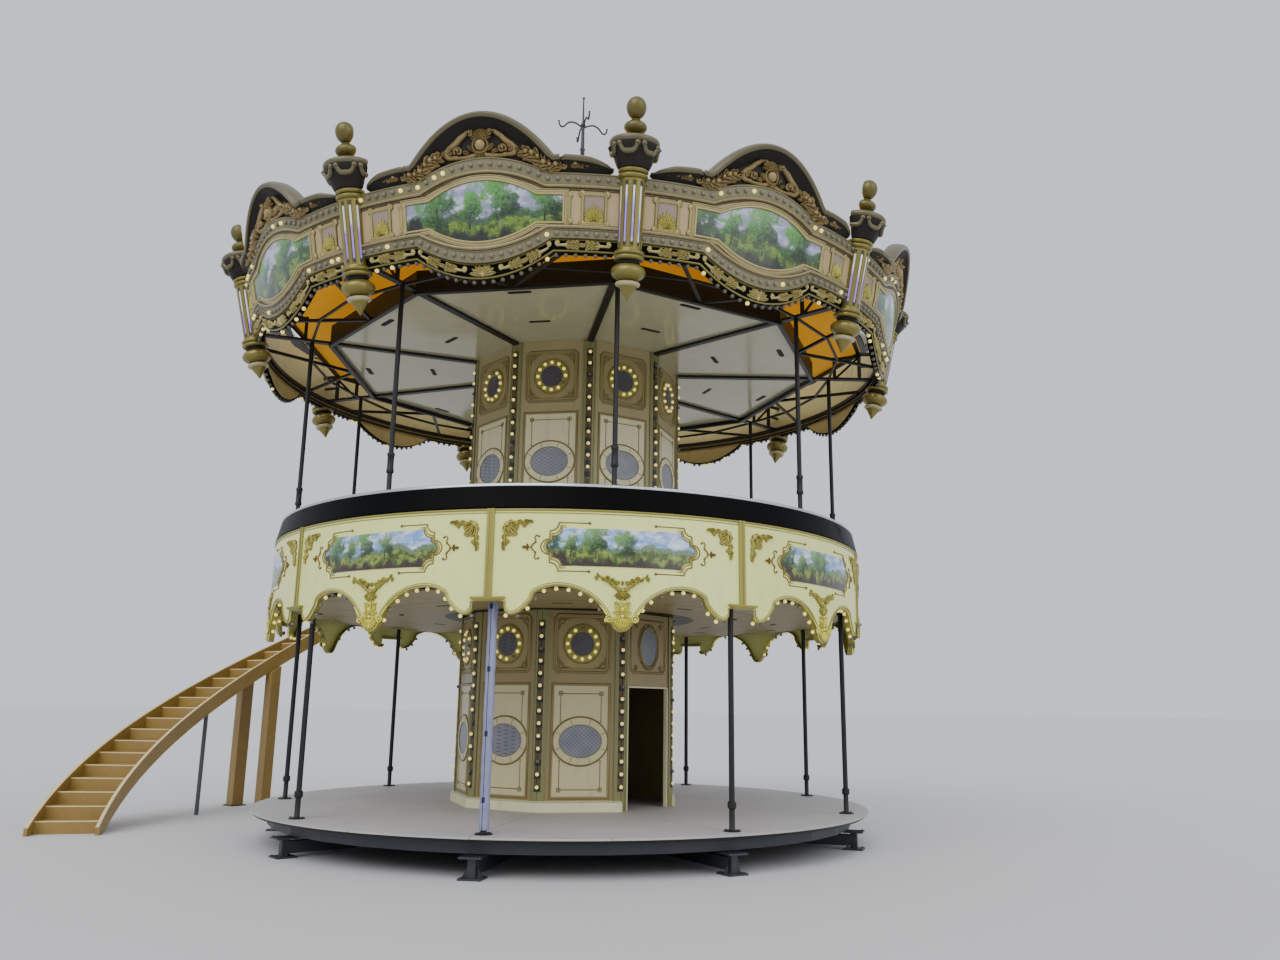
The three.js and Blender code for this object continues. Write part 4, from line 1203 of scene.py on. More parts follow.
class CAROUSEL_OT_crown_boards(CarouselStep, bpy.types.Operator):
    """Builds the crown's boards: skirt, light bands, field, mouldings, pictures and crest"""

    bl_idname = "carousel.crown_boards"
    bl_label = "Crown Boards"

    def make(self):
        runs = crown_runs()
        boards = all_bays("crown_board")
        skirt = Form().strip(runs, lambda run: [
            (skirt_foot(run), BOARD_BACK), (skirt_foot(run), -0.02),
            (low_band_foot(run) + 0.004, -0.02), (low_band_foot(run) + 0.004, -0.034),
            (skirt_foot(run) + 0.02, -0.034), (skirt_foot(run) + 0.02, BOARD_BACK)])
        crown_ring(skirt, "crown_skirt", "black_gloss", "crown_board", replaces=boards)

        back = Form().strip(runs, lambda run: upright(
            skirt_foot(run) + 0.021, high_band_head(run) - 0.002, BOARD_BACK, -0.036))
        crown_ring(back, "crown_board_backs", "inside_paint", "crown_board")

        bands = Form()
        for foot, head in ((low_band_foot, low_band_head), (high_band_foot, high_band_head)):
            bands.strip(runs, lambda run: [
                (foot(run), BOARD_FACE), (foot(run), 0.022), (foot(run) + 0.012, 0.022),
                (foot(run) + 0.018, 0.012), (head(run) - 0.018, 0.012),
                (head(run) - 0.012, 0.022), (head(run), 0.022), (head(run), BOARD_FACE)])
        crown_ring(bands, "crown_light_strips", "light_strip", "light_strip")

        field = Form().strip(runs, lambda run: upright(
            low_band_head(run) - 0.01, high_band_foot(run) + 0.01, BOARD_FACE, 0.0))
        crown_ring(field, "crown_field", "beige_paint", "crown_board")

        ogee = ((-0.004, -0.02), (-0.004, 0.024), (0.006, 0.036), (0.020, 0.042), (0.034, 0.036),
                (0.042, 0.020), (0.056, 0.016), (0.060, 0.0), (0.060, -0.02))
        mouldings = Form()
        # Each ogee corner's relief: the carved finish paints a highlight where it is high and shade
        # where it is low.
        ogee_light_and_shade = [0.0, 0.15, 0.6, 1.0, 0.6, 0.05, 0.55, 0.1, 0.0]
        for line, way in ((low_band_head, 1), (high_band_foot, -1)):
            mouldings.strip(runs, lambda run: [(line(run) + way * up, out) for up, out in ogee],
                            ogee_light_and_shade)
        crown_ring(mouldings, "crown_mouldings", "carved_bronze", "crown_board")

        frames = Form()
        frames.bead(picture_outline(0.040), 0.022, 0.020, closed=True)
        crown_ring(frames, "picture_coves", "carved_cove")
        inner = Form()
        inner.bead(picture_outline(0.012), 0.017, 0.030, closed=True, sides=3)
        inner.bead(picture_outline(0.064), 0.007, 0.024, closed=True, sides=3)
        crown_ring(inner, "picture_frames", "carved_frame")

        depth = sizes().picture_depth
        inside = [run for run in runs if abs(run) < PICTURE_HALF]
        columns = [-PICTURE_HALF, *inside, PICTURE_HALF]
        picture = Form().strip(columns, lambda run: upright(
            picture_foot(run), picture_head(run), 0.0, depth))
        crown_ring(picture, "crown_pictures", "crown_picture", "picture_print",
                   panel=(-PICTURE_HALF, picture_foot(0), 0.70))

        self.crests()

        edge = Form()
        edge.bead([(run, skirt_foot(run) + 0.016) for run in runs], 0.012, 0.014, low=-0.02,
                  sides=3)
        edge.bead([(run, low_band_foot(run) - 0.010) for run in runs], 0.006, 0.010,
                  low=-0.02, sides=3)
        crown_ring(edge, "crown_skirt_lines", "post_paint")

    def crests(self):
        """The black arches and side lobes, each with a hooded rim."""
        arch = [run for run in crown_runs(LOBE_START) if abs(run) <= LOBE_START]
        lobe = [LOBE_START + (LOBE_TIP - LOBE_START) * i / 18 for i in range(19)]
        plates = Form()
        for path in (arch, lobe, [-run for run in lobe]):
            plates.strip(path, lambda run: upright(
                high_band_head(run) - 0.01 + lobe_lift(run),
                max(crest_head(run) - 0.03, high_band_head(run)), BOARD_BACK, CREST_FACE))
        cove = ((-0.190, -0.032), (-0.150, -0.016), (-0.112, 0.030), (-0.080, 0.088),
                (-0.044, 0.092), (-0.020, -0.040), (-0.190, -0.050))
        rim = ((-0.086, 0.084), (-0.090, 0.100), (-0.078, 0.114), (-0.056, 0.118),
               (-0.034, 0.106), (-0.004, 0.060), (0.014, 0.000), (0.024, -0.060),
               (0.024, -0.098), (0.000, -0.098), (-0.010, -0.050), (-0.040, 0.060))
        rims = Form()
        for form, profile in ((plates, cove), (rims, rim)):
            form.add(self.hood(arch, profile, lambda t: 1.0))
            form.add_both(self.hood(lobe, profile, lambda t: min(
                1.0, 1.35 * math.sqrt(max(0.004, 1 - t ** 1.4)), 0.55 + 4 * t)))
        crown_ring(plates, "crown_crests", "crest_gloss", "crown_board")
        crown_ring(rims, "crown_crest_rims", "rim_paint", "crown_post")

    def hood(self, runs, profile, scale):
        """A section of (height over the crest's line, proud) corners, square to that line."""
        sections = []
        for i, run in enumerate(runs):
            back, on = runs[max(i - 1, 0)], runs[min(i + 1, len(runs) - 1)]
            way = Vector((on - back, crest_head(on) - crest_head(back))).normalized()
            size = scale(i / (len(runs) - 1))
            sections.append([
                (run - way.y * (up * size - 0.06 * (1 - size)),
                 crest_head(run) + way.x * (up * size - 0.06 * (1 - size)),
                 CREST_FACE + (out - CREST_FACE) * size) for up, out in profile])
        return Form().loft(sections)


class CAROUSEL_OT_crown_carving(CarouselStep, bpy.types.Operator):
    """Carves the crown's cartouches, garlands, skirt leaves and palm panels"""

    bl_idname = "carousel.crown_carving"
    bl_label = "Crown Carving"

    def cartouche(self):
        """A shell over a boss, and a pair of C-scrolls with open holes beside it."""
        form = Form()
        for i in range(11):
            angle = math.radians(15 + 15 * i)
            form.petal(0.0, 8.290, angle, 0.130, 0.026, 0.060, low=CREST_FACE)
        for i in range(7):
            angle = math.radians(24 + 22 * i)
            form.petal(0.0, 8.275, angle, 0.085, 0.024, 0.080, low=CREST_FACE)
        form.dome(0.0, 8.215, 0.070, 0.095, low=CREST_FACE, sides=14)
        form.bead(ellipse(0.0, 8.215, 0.088, 0.088, 18), 0.014, 0.070, low=CREST_FACE, closed=True)
        for i in range(5):
            form.petal(0.0, 8.150, math.radians(210 + 30 * i), 0.095, 0.026, 0.060, low=CREST_FACE)
        half = Form()
        half.bead([(0.09, 8.395), (0.17, 8.370), (0.24, 8.315), (0.30, 8.250), (0.36, 8.205),
                   (0.405, 8.160), (0.395, 8.115), (0.345, 8.100), (0.27, 8.115)], 0.036, 0.075,
                  low=CREST_FACE, taper=lambda t: 0.6 + 0.5 * math.sin(math.pi * t))
        half.bead([(0.06, 8.105), (0.14, 8.090), (0.23, 8.092), (0.32, 8.100)], 0.030, 0.065,
                  low=CREST_FACE, taper=lambda t: 1 - 0.3 * t)
        half.scroll(0.255, 8.155, 0.052, 0.016, 0.060, start=-0.6, spin=1)
        half.scroll(0.345, 8.150, 0.034, 0.012, 0.070, start=2.4, spin=-1)
        half.scroll(0.115, 8.345, 0.034, 0.012, 0.065, start=0.2, spin=1)
        for x, z, angle, length, width, bend in (
                (0.20, 8.345, -0.2, 0.10, 0.030, -0.9), (0.27, 8.285, -0.3, 0.10, 0.030, -0.9),
                (0.34, 8.225, -0.3, 0.09, 0.028, -0.9), (0.13, 8.120, 0.9, 0.09, 0.024, -0.9),
                (0.08, 8.165, 0.2, 0.10, 0.024, 0.9), (0.40, 8.130, -0.5, 0.06, 0.020, 0.9)):
            half.petal(x, z, angle, length, width, 0.065, bend=bend, low=CREST_FACE)
        return form.add_both(half)

    def garland(self):
        """Leaves and buds that climb over the high band, right of the bay's middle."""
        half = Form()
        path = []
        for i in range(8):
            t = i / 7
            run = 0.93 - 0.47 * t
            path.append((run, high_band_head(run) + 0.045 + 0.085 * t + 0.015 * math.sin(i * 1.7)))
        half.leaf_run(path, 0.125, 0.065, spread=1.05,
                      grow=lambda t: 0.55 + 0.55 * math.sin(math.pi * (0.15 + 0.8 * t)))
        for i in range(1, 7):
            half.dome(path[i][0], path[i][1] + 0.012, 0.034 if i % 2 else 0.026, 0.080, sides=8)
        half.scroll(0.960, 7.955, 0.040, 0.015, 0.045, start=3.4, spin=1)
        half.leaf_run([(1.03, 7.962), (1.08, 7.975), (1.13, 7.975), (1.18, 7.965)], 0.085, 0.055,
                      grow=lambda t: 1.0 - 0.2 * t)
        half.dome(1.085, 7.975, 0.030, 0.065, sides=10)
        half.bead([(1.18, 7.962), (1.24, 7.952), (1.30, 7.955)], 0.015, 0.040,
                  taper=lambda t: 1.1 - 0.5 * t)
        half.scroll(1.315, 7.968, 0.026, 0.010, 0.035, start=-1.2, spin=1)
        return half

    def skirt_leaf(self, form, start, end):
        """A leaf along the skirt: a curled stem at its start and a full fan at its end."""
        span = end - start

        def middle(run):
            return (skirt_foot(run) + low_band_foot(run)) / 2 + 0.004

        stem = [(start + span * t, middle(start + span * t)) for t in (0.10, 0.22, 0.34, 0.46)]
        form.bead(stem, 0.018, 0.028, taper=lambda t: 0.7 + 0.5 * t)
        body = [(start + span * t, middle(start + span * t)) for t in (0.40, 0.55, 0.70, 0.84)]
        form.leaf_run(body, 0.088, 0.042, spread=1.05, grow=lambda t: 0.80 + 0.25 * t)
        form.leaf_run(body[1:], 0.056, 0.056, spread=0.6)
        way = 1 if span > 0 else -1
        form.scroll(start + span * 0.10, middle(start) + 0.026, 0.032, 0.014, 0.030,
                    start=-math.pi / 2 + way * 0.3, spin=-way)

    def skirt_leaves(self):
        """Pairs of curled leaves along the skirt, and a palmette under the picture."""
        half = Form()
        for start, end in ((1.53, 1.19), (0.87, 1.18), (0.82, 0.52), (0.20, 0.50)):
            self.skirt_leaf(half, start, end)
        form = Form().add_both(half)
        base = (skirt_foot(0) + low_band_foot(0)) / 2 - 0.040
        for i in range(9):
            angle = math.radians(10 + 20 * i)
            form.petal(0.0, base - 0.006, angle, 0.100 + 0.07 * abs(math.cos(angle)), 0.024, 0.044)
        form.dome(0.0, base, 0.026, 0.045, sides=8)
        return form

    def end_panels(self):
        """Square frames with round corner bosses, on a ledge, and a slim pilaster beside each."""
        half = Form()
        x, z = PANEL_PLACE
        half.bead(box_outline(x, z, 0.135, 0.165), 0.016, 0.030, closed=True)
        half.bead(box_outline(x, z + 0.012, 0.112, 0.138), 0.005, 0.014, closed=True)
        half.bead([(x - 0.17, z - 0.192), (x + 0.17, z - 0.192)], 0.018, 0.034)
        pilaster = PICTURE_HALF + 0.075
        half.bead([(pilaster, z - 0.12), (pilaster, z + 0.12)], 0.024, 0.032)
        half.bead([(pilaster, z - 0.12), (pilaster, z + 0.12)], 0.008, 0.040)
        spots = [(x + sx * 0.142, z + sz * 0.170) for sx in (-1, 1) for sz in (-1, 1)]
        spots += [(pilaster, z + end * 0.150) for end in (-1, 1)]
        for px, pz in spots:
            half.dome(px, pz, 0.044, 0.030, sides=12)
            half.scroll(px, pz, 0.030, 0.009, 0.042, start=math.pi / 2, spin=1)
        return half

    def palms(self):
        half = Form()
        x, z = PANEL_PLACE[0], PANEL_PLACE[1] - 0.115
        for row, (count, reach, base) in enumerate(
                ((9, 0.185, 0.0), (8, 0.135, -0.010), (7, 0.090, -0.018))):
            for i in range(count):
                share = (i - (count - 1) / 2) / ((count - 1) / 2)
                length = reach * (1 - 0.42 * abs(share))
                half.petal(x + 0.02 * share, z + base, math.pi / 2 - share * 1.15, length, 0.018,
                           0.020 + 0.012 * row, low=0.006)
        for side in (-1, 1):
            half.scroll(x + side * 0.070, z - 0.014, 0.030, 0.011, 0.034,
                        start=math.pi / 2 - side * 0.6, spin=-side)
            half.petal(x + side * 0.02, z - 0.028, math.pi / 2 - side * 1.45, 0.095, 0.016, 0.03)
        return half

    def make(self):
        crest = Form().add(self.cartouche()).add_both(self.garland())
        crown_ring(crest, "crest_carving", "carved_old_gold", sharp=CARVING_ANGLE)
        build_ring(self.skirt_leaves(), "skirt_carving", "carved_pale_gold", "gold_trim",
                   lambda p: on_crown((p[0], p[1], p[2] - 0.02)), first=LOWER_START,
                   sharp=CARVING_ANGLE)
        crown_ring(Form().add_both(self.end_panels()), "crown_panel_frames", "carved_frame",
                   sharp=CARVING_ANGLE)
        crown_ring(Form().add_both(self.palms()), "crown_palms", "carved_palm", sharp=CARVING_ANGLE)
        ground = Form().add_both(Form().slab(box_outline(*PANEL_PLACE, 0.13, 0.16), 0.0, 0.006))
        crown_ring(ground, "crown_panel_grounds", "rose_paint", "crown_board")


class CAROUSEL_OT_crown_posts(CarouselStep, bpy.types.Operator):
    """Turns the crown's posts: drop, ball, fluted shaft, urn with swags and finial balls"""

    bl_idname = "carousel.crown_posts"
    bl_label = "Crown Posts"

    def make(self):
        def ball(centre, radius, squash, low, high, steps=12):
            rows = []
            for i in range(steps + 1):
                angle = low + (high - low) * i / steps
                rows.append((radius * math.cos(angle), centre + squash * math.sin(angle)))
            return rows

        def ring(centre, inner, thick, steps=6):
            return [(inner + thick * math.cos(angle), centre + thick * math.sin(angle))
                    for angle in (math.pi * (i / steps - 0.5) for i in range(steps + 1))]

        gold = Form()
        gold.turned([(0.0, -0.580), (0.016, -0.565), (0.034, -0.53), (0.104, -0.420),
                     (0.108, -0.408), (0.10, -0.40)], 36)
        gold.turned(ball(-0.245, 0.204, 0.114, -1.05, 1.12, 14), 40)
        gold.turned([(0.120, -0.116), (0.148, -0.110), *ring(-0.082, 0.158, 0.026),
                     (0.158, -0.053), *ring(-0.026, 0.160, 0.025), (0.150, 0.002),
                     (0.146, 0.010), (0.140, 0.030)], 40)
        gold.turned([(0.146, 0.800), (0.150, 0.822), (0.156, 0.832), *ring(0.866, 0.150, 0.030),
                     (0.158, 0.898), *ring(0.930, 0.150, 0.030), (0.160, 0.962)], 40)
        finial = Form().turned([
            (0.230, 1.306), (0.10, 1.316), (0.072, 1.322), (0.070, 1.370),
            *ball(1.456, 0.137, 0.086, -1.1, 1.1, 12), (0.056, 1.538), (0.052, 1.550)], 32)
        egg = [(0.119 * math.cos(angle) * (1 + 0.06 * math.sin(angle)),
                1.684 + 0.136 * math.sin(angle))
               for angle in (-1.2 + (math.pi / 2 + 1.2) * i / 14 for i in range(15))]
        finial.turned(egg, 32)
        fluted = []
        flutes, depth = 10, 0.016
        for z in (0.020, 0.040, 0.054, 0.790, 0.804, 0.822):
            cut = depth if 0.05 < z < 0.795 else 0.0
            swell = 0.143 + 0.012 * z
            section = []
            for i in range(flutes):
                for share, deep in ((0.0, 0), (0.26, 0), (0.30, 1), (0.70, 1), (0.74, 0)):
                    angle = (i + share - 0.5) * math.tau / flutes
                    radius = swell - cut * deep
                    section.append((radius * math.sin(angle), -radius * math.cos(angle), z))
            fluted.append(section)
        gold.loft(fluted)
        build_ring(gold, "crown_posts_gold", "post_paint", "crown_post", on_post,
                   replaces=all_bays("crown_post"))
        build_ring(finial, "crown_post_finials", "finial_paint", "crown_post", on_post)

        strips = Form()
        for i in range(-2, 3):
            angle = i * math.tau / flutes
            rows = []
            for z in np.linspace(0.060, 0.784, 16):
                base = 0.127 + 0.012 * float(z)
                rows.append([
                    (r * math.sin(angle + turn), -r * math.cos(angle + turn), float(z))
                    for r, turn in ((base - 0.002, -0.085), (base + 0.009, -0.075),
                                    (base + 0.009, 0.075), (base - 0.002, 0.085))])
            strips.loft(rows)
        build_ring(strips, "crown_post_light_strips", "led_strip", "light_strip", on_post,
                   extras={"height": lambda p: p[2]})

        cream = Form()
        cream.turned([(0.100, -0.412), (0.116, -0.412), *ring(-0.384, 0.122, 0.026),
                      (0.121, -0.356), (0.106, -0.350)], 48)
        build_ring(cream, "crown_post_drop_rings", "post_cream", "crown_post", on_post)

        rim = Form()
        rim.turned([(0.262, 1.216), *ring(1.260, 0.254, 0.046, 10), (0.225, 1.307)], 48)
        hooks = 6
        for i in range(hooks):
            start, end = (i + 0.1) * math.tau / hooks, (i + 1.1) * math.tau / hooks
            path = []
            for j in range(13):
                t = j / 12
                angle = start + (end - start) * (0.12 + 0.76 * t)
                dip = 1 - (2 * t - 1) ** 4
                reach = 0.292 - 0.034 * dip
                path.append((reach * math.sin(angle), -reach * math.cos(angle),
                             1.204 - 0.100 * dip))
            rim.tube(path, 0.030, 8, lambda t: 0.75 + 0.35 * math.sin(math.pi * t))
            for t in (0.13, 0.87):
                angle = start + (end - start) * t
                knob = Form().dome(0, 0, 0.034, 0.034, sides=10)
                knob.dome(0.0, -0.006, 0.018, 0.044, sides=8)
                rim.add(knob, lambda p: ((0.280 + p[2]) * math.sin(angle + p[0] / 0.286),
                                         -(0.280 + p[2]) * math.cos(angle + p[0] / 0.286),
                                         1.194 + p[1]))
        build_ring(rim, "crown_post_rims", "rim_paint", "crown_post", on_post)

        urn = Form()
        urn.turned([(0.150, 0.955), (0.184, 0.958), (0.198, 0.98), (0.222, 1.035), (0.246, 1.10),
                    (0.268, 1.16), (0.284, 1.205), (0.286, 1.23), (0.27, 1.25), (0.05, 1.252)],
                   48)
        neck = [(0.10, -0.150), (0.132, -0.146), (0.128, -0.128), (0.150, -0.112), (0.10, -0.106)]
        urn.turned(neck, 48)
        build_ring(urn, "crown_post_urns", "crest_gloss", "crown_post", on_post)


class CAROUSEL_OT_upper_frame(CarouselStep, bpy.types.Operator):
    """Builds the upper storey's poles, ceiling beams, chords, rails and braces"""

    bl_idname = "carousel.upper_frame"
    bl_label = "Upper Frame"

    def make(self):
        pole = Form()
        outline = [(0.0, 4.3605), (0.090, 4.3605), (0.090, 4.372), (0.082, 4.376),
                   (0.036, 4.378), (0.031, 4.386), (0.031, 4.62), (0.040, 4.622), (0.047, 4.632),
                   (0.047, 4.668), (0.040, 4.678), (0.040, 4.83), (0.047, 4.84), (0.047, 4.872),
                   (0.040, 4.882), (0.031, 4.886), (0.031, 7.14), (0.0, 7.14)]
        pole.turned(outline, 24, centre=(0.0, -POLE_RING))
        pole.bolts(four_spots(0.068, POLE_RING), 4.372, 0.011, 0.012, 0.014)
        middle_beam = (BEAM_BOTTOM + BEAM_TOP) / 2
        beam_depth = BEAM_TOP - BEAM_BOTTOM - 0.002
        inner, outer = 1.661, board_face(BEAM_BOTTOM) - 0.104
        pole.bar((0, -inner, middle_beam), (0, -outer, middle_beam), 0.095, beam_depth, 0.003)
        half = BAY_ANGLE / 2
        chord_z = BEAM_TOP - 0.037
        pole.bar(on_bearing(0, CHORD_RING, chord_z), on_bearing(BAY_ANGLE, CHORD_RING, chord_z),
                 0.068, 0.068)
        board_top = 7.42
        board_z = (BEAM_TOP + board_top) / 2
        pole.bar(on_bearing(0, CHORD_RING, board_z), on_bearing(BAY_ANGLE, CHORD_RING, board_z),
                 0.022, board_top - BEAM_TOP, 0.003)
        middle = on_bearing(half, CHORD_RING * math.cos(half), BEAM_TOP - 0.0275)
        rail_face = board_face(BEAM_TOP - 0.06) - 0.1008
        brace_turn, brace_ring = math.radians(6.5), 4.20
        for side in (-1, 1):
            turn = half + side * math.radians(12.5)
            pole.bar(middle, on_bearing(turn, rail_face - 0.032, middle.z), 0.044, 0.044, 0.004)
            near = on_bearing(half + side * brace_turn, brace_ring, middle.z)
            pole.bar(near, on_bearing(half + side * half, POLE_RING, middle.z), 0.036, 0.036, 0.004)
        pole.bar(on_bearing(half - brace_turn, brace_ring, middle.z),
                 on_bearing(half + brace_turn, brace_ring, middle.z), 0.036, 0.036, 0.004)
        eaves_z = ROOF_RIM_Z - 0.0305
        corner = on_bearing(0, EAVES_RING, eaves_z)
        pole.bar(corner, on_bearing(BAY_ANGLE, EAVES_RING, eaves_z), 0.058, 0.058)
        pole.bar((0, -EAVES_RING, BEAM_BOTTOM + 0.02), corner, 0.054, 0.054)
        upright_ring = 4.24
        pole.bar((0, -upright_ring, BEAM_BOTTOM + 0.02), (0, -upright_ring, 7.50), 0.048, 0.048)
        pole.bar((0, -upright_ring, 7.47), (0, -EAVES_RING, 7.54), 0.044, 0.044)
        pole.bar((0, -4.26, BEAM_TOP), (0, -4.63, 7.50), 0.036, 0.036)
        pole.bar(corner, (0, -board_face(eaves_z) + 0.103, eaves_z), 0.048, 0.054)
        tie_z = 7.36
        pole.bar((0, -EAVES_RING, tie_z), (0, -board_face(tie_z) + 0.103, tie_z), 0.040, 0.040)
        build_ring(pole, "upper_frame_bays", "black_steel", "black_steel",
                   replaces=["upper_frame"])

        rails = Form()
        rails.band(rail_face - 0.058, rail_face, 7.092, 7.148, 108, 0.004)
        low_face = board_face(7.03) - 0.1
        rails.band(low_face - 0.03, low_face - 0.002, 7.015, 7.045, 108, 0.003)
        build(rails, "upper_frame_rails", "black_steel", "black_steel")


class CAROUSEL_OT_ceilings(CarouselStep, bpy.types.Operator):
    """Lays the ceiling wedges of both storeys, and near-black plates as painted shade in their
    slots
    """

    bl_idname = "carousel.ceilings"
    bl_label = "Ceilings"

    def wedge(self, inner, outer, half_angle, low, thick, arc):
        """A panel between two radii, as a flat plate with a gap to its neighbours."""
        steps = 8 if arc else 1
        rim = [on_bearing(half_angle * (2 * i / steps - 1), outer, 0) for i in range(steps + 1)]
        root = [on_bearing(half_angle * (1 - i), inner, 0) for i in range(3)]
        return Form().plate([(point.x, point.y) for point in rim + root], low, low + thick)

    # Thin near-black plates: painted shade where the ceiling has open slots.
    def slots(self, places, low):
        form = Form()
        for radius, turn, length, wide in places:
            middle = on_bearing(math.radians(turn), radius, 0)
            way = Vector((math.cos(math.radians(turn)), math.sin(math.radians(turn))))
            across = Vector((-way.y, way.x))
            outline = []
            for i in range(16):
                angle = i * math.tau / 16
                shift = length / 2 - wide / 2 if math.cos(angle) > 0 else wide / 2 - length / 2
                place = way * (shift + wide / 2 * math.cos(angle))
                place = place + across * wide / 2 * math.sin(angle)
                outline.append((middle.x + place.x, middle.y + place.y))
            form.plate(outline, low, low + 0.004)
        return form

    def make(self):
        gap = math.radians(0.12)
        lower = Form()
        for side in (-1, 1):
            part = self.wedge(1.64, 4.098, BAY_ANGLE / 4 - gap, LOWER_CEILING, 0.02, True)
            turn = Matrix.Rotation(side * BAY_ANGLE / 4, 4, "Z")
            lower.add(part, lambda p: tuple(turn @ Vector(p)))
        build_ring(lower, "lower_ceiling_wedges", "lower_ceiling", "ceiling_grey",
                   replaces=["lower_ceiling"])
        backing = Form().band(0.3, 4.096, 3.168, 3.19, 108)
        build(backing, "lower_ceiling_backing", "black_steel", "ceiling_grey")
        lower_slots = self.slots(
            [(2.55, -9, 0.28, 0.07), (3.25, 8, 0.28, 0.07), (3.75, -13, 0.28, 0.07)], 3.1475)
        build_ring(lower_slots, "lower_ceiling_slots", "dark_slot", "ceiling_grey")

        part = self.wedge(1.55, 3.855, BAY_ANGLE / 2 - gap, BEAM_TOP + 0.001, 0.018, False)
        turn = Matrix.Rotation(BAY_ANGLE / 2, 4, "Z")
        upper = Form().add(part, lambda p: tuple(turn @ Vector(p)))
        build_ring(upper, "upper_ceiling_wedges", "ceiling_panel", "ceiling_grey",
                   replaces=["upper_ceiling"])
        upper_slots = self.slots(
            [(3.38, 20, 0.33, 0.080), (2.34, 20, 0.32, 0.070)], BEAM_TOP - 0.0015)
        build_ring(upper_slots, "upper_ceiling_slots", "dark_slot", "ceiling_grey")


class CAROUSEL_OT_roof(CarouselStep, bpy.types.Operator):
    """Finishes the roof with seams and a cap, and bends the mast's arms"""

    bl_idname = "carousel.roof"
    bl_label = "Roof and Mast"

    def make(self):
        repaint("roof_sheet", "roof")
        ribs = Form()
        cap_radius = 0.09
        cap_z = ROOF_APEX - cap_radius * (ROOF_APEX - ROOF_RIM_Z) / ROOF_RIM
        ribs.tube([(0, -ROOF_RIM - 0.002, ROOF_RIM_Z + 0.016), (0, -cap_radius, cap_z + 0.018)],
                  0.012, 8)
        build_ring(ribs, "roof_seams", "roof_sheet", "roof_orange")
        cap = Form().turned([(0.0, cap_z + 0.014), (0.135, cap_z - 0.012), (0.14, cap_z),
                             (0.095, cap_z + 0.026), (0.0, cap_z + 0.030)], 32)
        build(cap, "roof_cap", "frame_iron", "frame_iron")

        foot = cap_z + 0.0155
        mast = Form()
        mast.turned([(0.0, foot), (0.085, foot), (0.085, foot + 0.014), (0.05, foot + 0.03),
                     (0.042, foot + 0.06), (0.036, 11.2), (0.045, 11.215), (0.045, 11.24),
                     (0.032, 11.26), (0.028, 11.66), (0.040, 11.672), (0.044, 11.695),
                     (0.036, 11.72), (0.018, 11.74), (0.012, 12.19), (0.022, 12.215),
                     (0.020, 12.235), (0.0, MAST_TOP)], 24)
        arm = ((0.0, 0.0), (0.09, 0.060), (0.19, 0.095), (0.285, 0.050), (0.33, -0.030),
               (0.385, -0.055), (0.425, -0.005), (0.43, 0.060))
        arm_root, steps = 11.64, 36
        knots = np.linspace(0, 1, len(arm))
        samples = np.linspace(0, 1, steps)
        reach = np.array([place[0] for place in arm])
        rise = np.array([place[1] for place in arm])
        for _ in range(2):
            fine = np.linspace(0, 1, 2 * len(reach) - 1)
            reach, rise = np.interp(fine, knots, reach), np.interp(fine, knots, rise)
            for line in (reach, rise):
                line[1:-1] = line[:-2] * 0.25 + line[1:-1] * 0.5 + line[2:] * 0.25
            knots = fine
        for i in range(4):
            turn = math.radians(7 + 90 * i)
            path = [on_bearing(turn, float(np.interp(t, knots, reach)),
                               arm_root + float(np.interp(t, knots, rise))) for t in samples]
            mast.tube(path, 0.015, 8)
            end = path[-1]
            mast.turned([(0.0, end.z - 0.015), (0.018, end.z - 0.005), (0.018, end.z + 0.008),
                         (0.0, end.z + 0.018)], 10, centre=(end.x, end.y))
        build(mast, "mast_with_arms", "frame_iron", "frame_iron", replaces=["roof_mast"])


class CAROUSEL_OT_decks(CarouselStep, bpy.types.Operator):
    """Finishes the platform, the upper deck and its tapered rim"""

    bl_idname = "carousel.decks"
    bl_label = "Platform and Deck"

    def make(self):
        top = Form().turned([
            (0.0, 0.425), (PLATFORM_RADIUS - 0.012, 0.425), (PLATFORM_RADIUS, 0.430),
            (PLATFORM_RADIUS, PLATFORM_TOP - 0.003), (PLATFORM_RADIUS - 0.003, PLATFORM_TOP),
            (0.0, PLATFORM_TOP)], SMOOTH_RING)
        build(top, "platform_floor", "platform_sheet", "platform_grey", replaces=["platform_deck"])
        under = Form().turned([
            (0.0, 0.390), (PLATFORM_RADIUS - 0.055, 0.390), (PLATFORM_RADIUS - 0.040, 0.395),
            (PLATFORM_RADIUS - 0.036, 0.4245), (0.0, 0.4245)], SMOOTH_RING)
        build(under, "platform_underside", "black_steel", "platform_grey")
        joints = Form()
        joints.bar((0, -PLATFORM_RADIUS + 0.06, 0.4375), (0, -PLATFORM_RADIUS - 0.001, 0.4375),
                   0.006, 0.026, 0.001)
        build_ring(joints, "platform_joints", "black_steel", "platform_grey")

        rim = Form().hoop([(4.232, 4.052), (4.398, 4.052), (4.400, 4.060), (4.392, 4.085),
                           (4.338, 4.325), (4.232, 4.325)])
        build(rim, "deck_rim_board", "black_gloss", "deck_black", replaces=["deck_rim"])
        edge = Form().hoop([(4.20, 4.326), (4.337, 4.326), (4.341, 4.333), (4.336, 4.356),
                            (4.328, 4.3625), (4.20, 4.3625)])
        build(edge, "deck_edge_angle", "silver_edge", "deck_black")
        floor = Form().turned([
            (0.0, 4.24), (4.229, 4.24), (4.229, 4.325), (4.198, 4.325), (4.198, DECK_TOP),
            (0.0, DECK_TOP)], SMOOTH_RING)
        build(floor, "upper_deck_floor", "platform_sheet", "deck_black", replaces=["upper_deck"])


